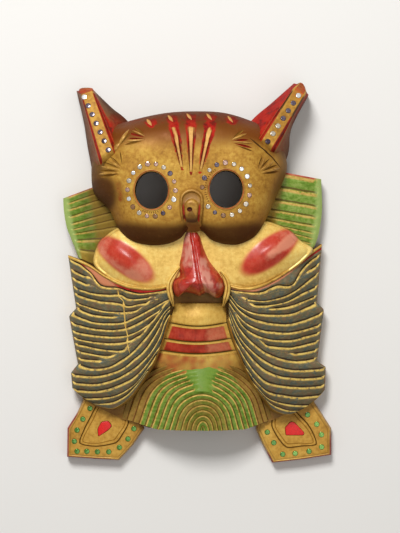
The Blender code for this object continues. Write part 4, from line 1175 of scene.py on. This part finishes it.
feet = {
    "grid": (100, 16), "height": 13.0, "draft": (0.945, 6.0), "line": (1.5, 1.3),
    "redSide": {"left": (-0.8, -0.6), "right": (0.3, -0.95)},
    "left": {
        "centre": (-79, -137),
        "edge": [(-99, -110), (-105.5, -124), (-113.8, -137), (-114.1, -162.2),
                 (-88.7, -163.9), (-68.6, -165), (-56, -151.5), (-46.8, -138),
                 (-50, -120), (-75, -105)],
        "line": [(-87, -115), (-94, -127), (-99.5, -138), (-103, -150), (-88, -153),
                 (-71, -150), (-64.5, -142), (-59.5, -132), (-61, -121), (-75, -111)],
        "mirrors": 11, "limeMirrors": (),
    },
    "right": {
        "centre": (81, -138),
        "edge": [(101.3, -113), (109.7, -125.5), (117, -137), (117.1, -160.4),
                 (93.8, -164.1), (65.4, -167.4), (57, -151.5), (51.1, -138),
                 (53, -122), (76, -107)],
        "line": [(86.5, -122), (96, -132), (101.2, -140.5), (104, -151), (91.8, -152.7),
                 (78, -154), (70, -146), (64.2, -134.5), (66, -123), (76, -113)],
        "mirrors": 9, "limeMirrors": (2, 3, 4, 6),
    },
}


def footFront(side):
    foot = feet[side]
    centre = Vector(foot["centre"])
    width, depth = feet["line"]

    def front(u, v):
        edge = straightPoint(foot["edge"], u)
        line = straightPoint(foot["line"], u, 0.7)
        inward = (centre - line).normalized() * width
        outer = ease(0.25, 0.6, (edge - centre).normalized() @ Vector(feet["redSide"][side]))
        top = centre.lerp(edge, feet["draft"][0])
        high, low = feet["height"], feet["draft"][1]
        rings = [(centre, high, 0, 0),
                 (line + inward * 2.9, high, 0, 0),
                 (line + inward * 2.5, high - depth * 0.5, 0.1, 0.5),
                 (line + inward * 2.1, high, 0, 0.1),
                 (line + inward, high, 0, 0.1),
                 (line + inward * 0.75, high - depth * 0.35, 0, 0.6),
                 (line + inward * 0.5, high - depth, 0.25, 0.7),
                 (line + inward * 0.2, high - depth * 0.5, 0.1, 0.6),
                 (line, high, 0, 0.15),
                 (line.lerp(top, 0.5), high, 0.1, 0.1),
                 (line.lerp(top, 0.8), high, 0.15, 0.1),
                 (line.lerp(top, 0.88), high - 0.35, 0.2, 0.55),
                 (line.lerp(top, 0.96), high, 0.3, 0.1),
                 (top, high - 0.25, 0.1 + 0.35 * outer, 0.0),
                 (top.lerp(edge, 0.12), high - 1.0, 0.2 + 0.45 * outer, 0.05),
                 (top.lerp(edge, 0.5), (high + low) / 2, 0.3 + 0.4 * outer, 0.2),
                 (edge, low, 0.35 + 0.35 * outer, 0.4)]
        spot, height, red, washAndShade = rings[round(v * (len(rings) - 1))]
        height += 0.18 * ripple(spot, 9, 15.0)
        return atHeight(spot, height), v, (red, 0.0, washAndShade, 1.0)
    return front


# the block under it all, and the hollow behind

core = {
    "rows": 12, "height": 15.0, "crown": 24.0, "centre": (1, -25),
    "edge": [(-100, -111), (-89, -117), (-66, -128), (-42, -136), (2, -136), (45, -136),
             (61, -131), (89, -119), (97, -115), (98, -60), (98, 0), (95, 18), (72, 60),
             (55, 95), (-60, 100), (-80, 60), (-102.5, 13), (-98, -60)],
}
# its knots say how far along, the middle, half the width and the height of the roof
hollow = {
    "grid": (44, 64), "floor": -20.0, "shape": (3, 0.6), "gouge": 0.7,
    "knots": [(124, -6, 20, 8), (114, -7, 44, 30), (98, -7, 57, 43), (70, -7, 60, 46),
              (50, -6, 57, 40), (34, -4, 52, 24), (4, -2, 46, 20), (-18, 0, 36, 11),
              (-44, 2, 26, 12), (-66, 2, 16, 6)],
}


def coreFront(u, v):
    spot = Vector(core["centre"]).lerp(straightPoint(core["edge"], u), v)
    height = core["crown"] + (core["height"] - core["crown"]) * v + 0.5 * ripple(spot, 6, 16.0)
    return atHeight(spot, height), v, (0.12, 0.0, 0.45, 1.0)


def hollowFront(u, v):
    y, middle, half, roof = smoothPoint(hollow["knots"], v)
    across = 2 * u - 1
    arch, flank = hollow["shape"]
    rise = max(0.0, 1 - abs(across) ** arch) ** flank
    x = middle + half * across
    scallop = abs(noise.noise(Vector((x / 7, y / 13, 17.0)))) * hollow["gouge"] * rise
    return Vector((x, y, roof * rise - scallop)), v, plain


def newGroup(name):
    group = bpy.data.collections.new(name)
    bpy.context.scene.collection.children.link(group)
    return group


forms = newGroup("carved_forms")
cutters = newGroup("cutters")
hollows = newGroup("hollows")

# each kind of block ends half a millimetre deeper than the last
kinds = ("head", "ear", "wing", "cheek", "panel", "foot", "nose", "beak", "chin", "beard",
         "core", "bead")
depths = {kind: buried - 0.5 * number for number, kind in enumerate(kinds)}


def carveForm(kind, grid, front, side=None, paint=None, sides=(0, 0, 0.4, 1)):
    name = f"{kind}_{side}_form" if side else f"{kind}_form"
    return carveBlock(name, *grid, front, paints[paint or kind], forms, depths[kind], sides)


headForm = carveForm("head", head["grid"], headFront, sides=(0, 0, 0.75, 0.3))
for side in ("left", "right"):
    carveForm("ear", (len(earSection) - 1, ears["rows"]), earFront(side), side, "head",
              (0.1, 0, 0.6, 0.3))
    carveForm("wing", (wings["columns"], wings["strips"] * len(saw)), wingFront(side), side,
              sides=(0.15, 0, 0.5, 1))
    carveForm("cheek", cheeks["grid"], cheekFront(side), side)
    panelRows = (len(panels[side]["lines"]) + 2) * len(saw) + panels["wallRows"]
    carveForm("panel", (panels["columns"], panelRows), panelFront(side), side, "feather",
              (0, 0, 0.5, 1))
    carveForm("foot", feet["grid"], footFront(side), side, sides=(0.55, 0, 0.5, 1))
    carveForm("bead", beads["grid"], beadFront(beads[side]), side, "cheek")
noseForm = carveForm("nose", nose["grid"], noseFront)
carveForm("beak", beak["grid"], beakFront, paint="gilt")
carveForm("chin", (chin["columns"], len(chinLevels) - 1), chinFront)
carveForm("beard", (beard["columns"], beard["arches"] * len(saw)), beardFront,
          sides=(0, 0, 0.6, 1))
tree = surfaceOf([headForm, noseForm])
print("carved forms ready")


# chisel cuts

# a spindle laid along a line on the wood, partly sunk in, which cuts a groove or adds a ridge
def chiselForm(start, end, width, depth, paint, skew=1.0, spare=1.5, ground=None):
    form = bmesh.new()
    bmesh.ops.create_uvsphere(form, u_segments=8, v_segments=16, radius=1.0)
    along = (Vector(end) - Vector(start)).to_3d().normalized()
    for vert in form.verts:
        share = math.acos(max(-1.0, min(1.0, vert.co.z))) / math.pi
        swell = math.sin(math.pi * share ** skew) / max(math.sin(math.pi * share), 0.01)
        vert.co.xy *= swell
        spot, outward = dropOnto(ground or tree, *Vector(start).lerp(Vector(end), share))
        if ground:
            outward = Vector((0, 0, 1))
        across = outward.cross(along).normalized() * vert.co.x * width * spare
        lift = vert.co.y * depth * spare + depth * (spare - 1) * vert.co.xy.length
        vert.co = spot + (across + outward * lift) * mm
    coatAll(form, paint)
    return form


# start, end, width and redness of each cut in the fans at the ears
rootCuts = [
    ((-44, 115.5), (-54, 123), 0.8, 0.1), ((-43.5, 113.4), (-58, 117.4), 0.85, 0.9),
    ((-44, 112.2), (-59, 112.9), 0.6, 0.7), ((-45, 110.8), (-62, 107.2), 0.85, 0.1),
    ((-63.6, 88), (-74.5, 98), 0.8, 0.1), ((-64, 86.4), (-80, 93), 0.8, 0.1),
    ((-64.5, 84.6), (-84, 86.2), 0.8, 0.1), ((-65, 82.6), (-83, 80.6), 0.9, 0.3),
    ((-63.4, 89), (-65.5, 102), 0.5, 0.1),
    ((28.5, 112), (39.5, 120.5), 0.8, 0.1), ((28.5, 110.8), (43.5, 111.6), 0.8, 0.9),
    ((29, 109), (46.5, 104.6), 0.8, 0.9), ((32, 107), (47.5, 101.4), 0.6, 0.2),
    ((51, 86), (55, 97.6), 0.8, 0.1), ((51.8, 85), (61.5, 96), 0.9, 0.1),
    ((52.5, 84), (68.5, 91), 0.8, 0.1), ((53, 82.4), (70, 85.4), 0.8, 0.4)]
# the gold thread down the left panel
spine = [((-68.5, -15), (-67.5, -23), 0.5), ((-68, -21), (-63, -26), 0.4),
         ((-63.5, -25), (-63, -34), 0.9), ((-63.2, -32), (-62, -44), 0.6),
         ((-62.4, -41), (-61.5, -49), 0.9), ((-61.6, -48), (-59.5, -57), 0.5),
         ((-60, -56), (-60, -64), 0.8), ((-60, -62), (-58, -71), 0.4)]
# the grooves that set the ears off from the head
rootGrooves = [((-54, 121), (-66, 106.5)), ((44, 113.5), (57, 102.5)), ((53, 106.5), (65, 95.5)),
               ((61.5, 99.5), (71.5, 88))]
# raised petals between the cuts of the fans, with a painted highlight on their tops
petals = [
    ((-44, 114.4), (-55.5, 119.8), 0.6, 0.0), ((-45, 111.6), (-62, 110), 0.7, 0.1),
    ((-64, 87.2), (-77, 95.8), 0.8, 0.0), ((-64.5, 85.6), (-82, 89.6), 0.9, 0.0),
    ((-65, 83.6), (-84.5, 83.2), 0.9, 0.0), ((-76, 97), (-65, 110), 1.3, 0.0),
    ((-68, 106), (-58, 121), 1.1, 0.1),
    ((29, 111.6), (42, 117), 0.8, 0.0), ((30, 110), (48, 108.4), 0.6, 0.1),
    ((51.4, 86), (57.5, 97.4), 0.9, 0.0), ((52, 84.8), (65, 94), 0.9, 0.0),
    ((52.8, 83.4), (70.5, 88.4), 0.9, 0.1)]
chiselDepths = {"root": 1.9, "rootGroove": 1.5, "petal": 0.55, "spine": 0.35}


def chisel(start, end, width, depth, paint, skew=1.0):
    form = chiselForm(start, end, width, depth, paint, skew)
    linkHelper(f"chisel_cut_{len(cutters.objects) + 1:02d}", form, paints["gilt"], cutters)


def flutePaint(spot):
    y = spot.y / mm
    return (0.9 - 0.35 * ease(104, 90, y), 0.0, 0.35 + 0.25 * ease(118, 100, y), 1.0)


def raisePetal(start, end, width, redness):
    form = chiselForm(start, end, width, chiselDepths["petal"], (redness, 0.25, 0.0, 1.0), 1.2)
    linkHelper(f"petal_{len(forms.objects):02d}_form", form, paints["gilt"], forms)


for start, end in flutes["lines"]:
    for side in (-1, 1):
        shift = side * flutes["spread"]
        wide, narrow = flutes["splay"]
        chisel((start[0] + shift * wide, start[1]), (end[0] + shift * narrow, end[1]),
               flutes["width"], flutes["depth"], flutePaint)
for x, y in chips["places"]:
    leanX, leanY = chips["lean"]
    chisel((x - leanX, y - leanY), (x + leanX, y + leanY), chips["width"], chips["depth"],
           (0.1, 0.9, 0.0, 1.0), 0.8)
for start, end, width, redness in rootCuts:
    chisel(start, end, width, chiselDepths["root"], (redness, 0.0, 0.4, 1.0), 1.5)
for start, end in rootGrooves:
    # the grooves are painted dark, a wash with painted shade in them, more on the right
    washAndShade = 0.85 if start[0] > 0 else 0.5
    chisel(start, end, 0.6, chiselDepths["rootGroove"], (0.15, 0.0, washAndShade, 1.0))
for start, end, width, redness in petals:
    raisePetal(start, end, width, redness)
leftPanel = surfaceOf([forms.objects["panel_left_form"]])
for start, end, width in spine:
    bead = chiselForm(start, end, width, chiselDepths["spine"], (0, 0, 0, 1), 1.0, 1.2, leftPanel)
    linkHelper(f"spine_{len(forms.objects):02d}_form", bead, paints["cheek"], forms)
print("chisel cuts ready")


# eyes: a raised lip round each hole, nicks beside it and a ring of mirror sockets

eyes = {
    "hole": (14.1, 15.9), "drill": (-30.0, 90.0), "holeSides": 72, "ring": (20.3, 22.3),
    "lip": (1.1, 0.9), "lipSink": 0.35, "lipSides": 12, "lipSteps": 84,
    "nickStep": 6, "nick": (2.6, 4.6), "nickSize": (0.34, 0.45),
    "left": {"centre": (-38.8, 68.8), "first": 179.0, "step": -20.0,
             "finish": ["rosy", "silver", "bright", "silver", "rosy", "rosy", "silver", "smoky",
                        "rosy", "rosy", "bright", "rosy", "dark", "amber", "rosy", "silver",
                        "amber", "bright"],
             "nicks": (246, 292)},
    "right": {"centre": (24.3, 69.6), "first": 176.0, "step": -21.0,
              "finish": ["amber", "smoky", "silver", "smoky", "rosy", "silver", "bright",
                         "bright", "silver", "rosy", "silver", "silver", "silver", "amber",
                         "smoky", "silver"],
              "nicks": (122, 214)},
}
mirrorSize = {"radius": 2.2, "gap": 0.22, "thickness": 1.4, "proud": 0.3, "sides": 24,
              "bevel": 0.28, "socket": (-1.3, 3.0), "small": (1.85, 2.05, 1.7, 1.95, 2.1, 1.8)}
mirrorMiddle = mirrorSize["proud"] - mirrorSize["thickness"] / 2


# a round bar is spun into a wide ring first, which is then laid round the hole
def lipForm(eye):
    form = bmesh.new()
    wide = 100
    outset, radius = eyes["lip"]
    bmesh.ops.create_circle(form, segments=eyes["lipSides"], radius=radius)
    turn = Matrix.Translation((wide, 0, 0)) @ Matrix.Rotation(math.pi / 2, 4, "X")
    bmesh.ops.transform(form, matrix=turn, verts=form.verts[:])
    bmesh.ops.spin(form, geom=form.verts[:] + form.edges[:], axis=(0, 0, 1), cent=(0, 0, 0),
                   angle=2 * math.pi, steps=eyes["lipSteps"], use_merge=True)
    coat = form.loops.layers.float_color.new("paint")
    form.loops.layers.uv.new("carving")
    centreX, centreY = eye["centre"]
    wideX, wideY = (axis + outset for axis in eyes["hole"])
    offsets = {}
    for vert in form.verts:
        angle = math.atan2(vert.co.y, vert.co.x)
        away = vert.co.xy.length - wide
        offsets[vert] = away
        x = centreX + (wideX + away) * math.cos(angle)
        y = centreY + (wideY + away) * math.sin(angle)
        ground, _ = dropOnto(tree, centreX + wideX * math.cos(angle),
                             centreY + wideY * math.sin(angle))
        place = Vector((x, y, 0)) + datum
        height = ground.z + (vert.co.z - eyes["lipSink"]) * mm
        vert.co = Vector((place.x * mm, place.y * mm, height))
    for face in form.faces:
        for loop in face.loops:
            away = offsets[loop.vert]
            loop[coat] = (0.75 * ease(0.5, -0.6, away), 0, 0.35 * ease(0.4, -0.6, away), 1.0)
    return form


def ringPlaces(eye):
    x, y = eye["centre"]
    width, height = eyes["ring"]
    for number, finish in enumerate(eye["finish"]):
        angle = math.radians(eye["first"] + number * eye["step"])
        yield number + 1, finish, x + width * math.cos(angle), y + height * math.sin(angle)


def cutSocket(name, place, radius, shade=0.95):
    form = discForm(radius + mirrorSize["gap"], *mirrorSize["socket"], mirrorSize["sides"])
    form.transform(place)
    coatAll(form, (0.1, 0.0, shade, 1.0))
    linkHelper(name, form, paints["gilt"], cutters)


for side in ("left", "right"):
    eye = eyes[side]
    linkHelper(f"lip_{side}_form", lipForm(eye), paints["gilt"], forms)
    hole = discForm(1.0, *eyes["drill"], eyes["holeSides"])
    place = Matrix.Translation((Vector((*eye["centre"], 0)) + datum) * mm)
    hole.transform(place @ Matrix.Diagonal((*eyes["hole"], 1.0, 1.0)))
    coatAll(hole, (0.35, 0.0, 0.75, 1.0))
    linkHelper(f"eye_hole_{side}", hole, paints["gilt"], hollows)
    low, high = eye["nicks"]
    for angle in range(low, high, eyes["nickStep"]):
        way = Vector((math.cos(math.radians(angle)), math.sin(math.radians(angle))))
        near, far = (Vector(eye["centre"]) + way * (eyes["hole"][0] + grow)
                     for grow in eyes["nick"])
        stretch = 1.3 * abs(way.y) * (1 if way.y > 0 else -1)
        near.y += stretch
        far.y += stretch
        chisel(near, far, *eyes["nickSize"], (0.42, 0.0, 0.6, 1.0))

mouthHole = discForm(1.0, *beak["mouthDepth"], beak["mouthSides"])
spot, outward = dropOnto(surfaceOf([forms.objects["beak_form"]]), *beak["mouthHole"])
mouthHole.transform(turnTo(spot, outward) @ Matrix.Diagonal((*beak["mouthRadii"], 1.0, 1.0)))
coatAll(mouthHole, (0.9, 0.0, 0.75, 1.0))
linkHelper("beak_hole", mouthHole, paints["gilt"], cutters)
print("eyes ready")


# mirrors and drops

def mirrorGlass(name, look):
    kit = NodeKit(name)
    smear = kit.noise(grain["smear"], 4.0, 0.6)
    flaw = kit.noise(grain["flaw"], 2.0)
    tone = kit.ramp(smear, [(0.35, look["dark"]), (0.55, look["light"])])
    tone = kit.mix(kit.times(kit.step(flaw, 0.62, 0.72), look["flaws"]), tone, look["dark"])
    kit.give("Base Color", tone)
    kit.give("Roughness", kit.scaled(smear, 0.25, look["roughness"]))
    kit.give("Metallic", look["metallic"])
    kit.give("Coat Weight", look["coat"])
    kit.give("Coat Roughness", 0.05)
    kit.bump(smear, bumpDepth["glass"], 0.15)
    return kit.material


mirrorGlaze = {"roughness": 0.02, "metallic": 0.55, "coat": 0.7}
mirrorLooks = {
    "bright": {"dark": rgb(226, 226, 222), "light": rgb(250, 250, 248), "flaws": 0.1},
    "silver": {"dark": rgb(172, 160, 140), "light": rgb(226, 214, 196), "flaws": 0.35},
    "rosy": {"dark": rgb(160, 112, 96), "light": rgb(214, 178, 162), "flaws": 0.4},
    "amber": {"dark": rgb(92, 60, 36), "light": rgb(150, 108, 70), "flaws": 0.5, "metallic": 0.25},
    "smoky": {"dark": rgb(50, 42, 54), "light": rgb(108, 94, 108), "flaws": 0.4, "metallic": 0.25},
    "dark": {"dark": rgb(30, 20, 30), "light": rgb(72, 54, 70), "flaws": 0.4, "metallic": 0.25},
    "green": {"dark": rgb(44, 92, 30), "light": rgb(104, 160, 66), "flaws": 0.5},
    "lime": {"dark": rgb(70, 124, 36), "light": rgb(136, 186, 88), "flaws": 0.35},
}
dropLook = {"dark": rgb(186, 8, 4), "light": rgb(218, 16, 8), "flaws": 0.2, "roughness": 0.25,
            "metallic": 0.0, "coat": 0.05}
mirrorPaints = {finish: mirrorGlass(f"mirror_{finish}", {**mirrorGlaze, **look})
                for finish, look in mirrorLooks.items()}
dropGlass = mirrorGlass("drop_red", dropLook)
tilts = [(-1.5, 1.0), (1.2, -1.4), (0.4, 1.6), (-0.8, -0.9), (1.6, 0.5), (-1.2, 0.2)]


def showPiece(name, form, material, nodes=()):
    mesh = outwardMesh(name, form, material)
    mesh.shade_smooth()
    mesh.set_sharp_from_angle(angle=math.radians(sharp["glass"]))
    item = linkItem(name, mesh)
    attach(item, "root")
    if nodes:
        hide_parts(*nodes)


def mirrorDisc(place, tilt, radius=mirrorSize["radius"]):
    top = mirrorSize["proud"]
    form = discForm(radius, top - mirrorSize["thickness"], top, mirrorSize["sides"])
    bevelRim(form, top, mirrorSize["bevel"])
    tiltX, tiltY = (math.radians(angle) for angle in tilt)
    lean = Matrix.Rotation(tiltX, 4, "X") @ Matrix.Rotation(tiltY, 4, "Y")
    form.transform(place @ lean)
    return form


def nodePlace(node):
    low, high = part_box(node)
    return (low + high) / 2


count = 0
for side in ("left", "right"):
    for number, finish, x, y in ringPlaces(eyes[side]):
        place = turnTo(*dropOnto(tree, x, y))
        radius = mirrorSize["small"][count % len(mirrorSize["small"])]
        cutSocket(f"eye_socket_{side}_{number:02d}", place, radius)
        form = mirrorDisc(place, tilts[count % len(tilts)], radius)
        showPiece(f"eye_mirror_{side}_{number:02d}", form, mirrorPaints[finish])
        count += 1
    lowOuter, lowInner, highOuter, highInner = stripCorners(side)
    normal = (highOuter - lowInner).cross(highInner - lowOuter).normalized()
    normal = normal if normal.z > 0 else -normal
    for number, finish in enumerate(ears[side]["finish"], 1):
        node = f"ear_mirror_{side}_{number}"
        place = turnTo(nodePlace(node) - normal * mirrorMiddle * mm, normal)
        cutSocket(f"{node}_socket", place, mirrorSize["radius"])
        form = mirrorDisc(place, tilts[count % len(tilts)])
        showPiece(f"{node}_glass", form, mirrorPaints[finish], [node])
        count += 1
    for number in range(1, feet[side]["mirrors"] + 1):
        node = f"foot_mirror_{side}_{number:02d}"
        place = Matrix.Translation(nodePlace(node) - Vector((0, 0, mirrorMiddle * mm)))
        cutSocket(f"{node}_socket", place, mirrorSize["radius"], 0.6)
        form = mirrorDisc(place, tilts[count % len(tilts)])
        finish = "lime" if number in feet[side]["limeMirrors"] else "green"
        showPiece(f"{node}_glass", form, mirrorPaints[finish], [node])
        count += 1
print("mirrors ready:", count)

drops = {
    "round": 1.4, "bevel": 0.35, "gap": 0.45, "under": 0.3, "over": 3.0,
    "left": [(-86.3, -143.8), (-86.9, -137.1), (-83.5, -131), (-77.7, -130.2), (-74.6, -134.6),
             (-77.8, -138)],
    "right": [(77, -142.6), (76.4, -136), (81, -130.9), (84.3, -131.3), (92.9, -140.2),
              (92.4, -142.6)],
}


def dropForm(side, grow, low, high):
    corners = [Vector(corner) for corner in drops[side]]
    middle = sum(corners, Vector((0, 0))) / len(corners)
    form = bmesh.new()
    verts = []
    for corner in corners:
        spot = (corner + (corner - middle).normalized() * grow).to_3d() + datum
        verts.append(form.verts.new((spot.x * mm, spot.y * mm, low * mm)))
    top = extrude(form, [form.faces.new(verts)])
    bmesh.ops.translate(form, verts=top, vec=(0, 0, (high - low) * mm))
    upright = [edge for edge in form.edges
               if abs(edge.verts[0].co.z - edge.verts[1].co.z) > 0.1 * mm]
    bevelEdges(form, upright, drops["round"], 5, clamp=True)
    return form


top = feet["height"] + mirrorSize["proud"]
bottom = top - mirrorSize["thickness"]
for side in ("left", "right"):
    socket = dropForm(side, drops["gap"], bottom - drops["under"], top + drops["over"])
    coatAll(socket, (0.3, 0.0, 0.9, 1.0))
    linkHelper(f"drop_socket_{side}", socket, paints["foot"], cutters)
    form = dropForm(side, 0.0, bottom, top)
    bevelRim(form, top, drops["bevel"])
    showPiece(f"foot_drop_{side}_glass", form, dropGlass, [f"foot_drop_{side}"])
print("drops ready")


# join, cut and hollow the wood

def addBoolean(item, operation, operands):
    modifier = item.modifiers.new(operation, "BOOLEAN")
    modifier.operation = operation
    modifier.operand_type = "COLLECTION"
    modifier.collection = operands
    modifier.solver = "MANIFOLD"
    modifier.material_mode = "TRANSFER"


carveBlock("hollow", *hollow["grid"], hollowFront, paints["back"], hollows, hollow["floor"], plain)
slabSize = 0.4
slab = bmesh.new()
bmesh.ops.create_cube(slab, size=slabSize, matrix=Matrix.Translation((0, 0, -slabSize / 2)))
coatAll(slab)
linkHelper("back_plane", slab, paints["back"], hollows)

block = carveBlock("core_form", len(core["edge"]) * 4, core["rows"], coreFront, paints["gilt"],
                   bpy.context.scene.collection, depths["core"])
addBoolean(block, "UNION", forms)
addBoolean(block, "DIFFERENCE", cutters)
addBoolean(block, "DIFFERENCE", hollows)
graph = bpy.context.evaluated_depsgraph_get()
carved = bpy.data.meshes.new_from_object(block.evaluated_get(graph))
carved.name = "carved_mask"
for group in (forms, cutters, hollows):
    for item in list(group.objects):
        bpy.data.objects.remove(item)
    bpy.data.collections.remove(group)
bpy.data.objects.remove(block)
carved.shade_smooth()
carved.set_sharp_from_angle(angle=math.radians(sharp["wood"]))
mask = linkItem("carved_mask", carved)
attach(mask, "root")
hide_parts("mask")
carved.calc_loop_triangles()
print("mask carved:", len(carved.loop_triangles), "triangles")


# floor, lights and camera

studio = {
    "floor": rgb(226, 224, 220), "floorSize": 3.0, "floorDrop": 0.0003, "floorRoughness": 0.9,
    "sky": (1.0, 0.98, 0.95, 1.0), "skyStrength": 0.30,
    "key": {"place": (-0.30, 0.95, 1.40), "size": 0.5, "power": 26.0},
    "fill": {"place": (0.5, -0.3, 1.7), "size": 1.4, "power": 5.0}, "lit": (0, 0, 0.02),
    "eye": (0.0022, 0.0056, 1.5), "faceHeight": 0.015, "viewHeight": 0.4637, "sensor": 24.0,
}


def addLight(name):
    light = studio[name]
    lamp = bpy.data.lights.new(name, "AREA")
    lamp.size = light["size"]
    lamp.energy = light["power"]
    item = linkItem(name, lamp)
    item.location = light["place"]
    way = Vector(studio["lit"]) - Vector(light["place"])
    item.rotation_euler = way.to_track_quat("-Z", "Y").to_euler()


floorForm = bmesh.new()
bmesh.ops.create_grid(floorForm, x_segments=1, y_segments=1, size=studio["floorSize"])
bmesh.ops.translate(floorForm, verts=floorForm.verts[:], vec=(0, 0, -studio["floorDrop"]))
floorMesh = bpy.data.meshes.new("studio_floor")
floorForm.to_mesh(floorMesh)
floorForm.free()
floorKit = NodeKit("floor_paper")
floorKit.give("Base Color", studio["floor"])
floorKit.give("Roughness", studio["floorRoughness"])
floorMesh.materials.append(floorKit.material)
floor = linkItem("studio_floor", floorMesh)

addLight("key")
addLight("fill")
world = bpy.data.worlds.new("studio")
world.use_nodes = True
sky = world.node_tree.nodes["Background"].inputs
sky["Color"].default_value = studio["sky"]
sky["Strength"].default_value = studio["skyStrength"]
bpy.context.scene.world = world
bpy.context.scene.view_settings.view_transform = "Standard"

lens = bpy.data.cameras.new("camera")
lens.sensor_fit = "VERTICAL"
lens.sensor_height = studio["sensor"]
lens.lens = studio["sensor"] * (studio["eye"][2] - studio["faceHeight"]) / studio["viewHeight"]
camera = linkItem("camera", lens)
camera.location = studio["eye"]
bpy.context.scene.camera = camera
print("studio ready")
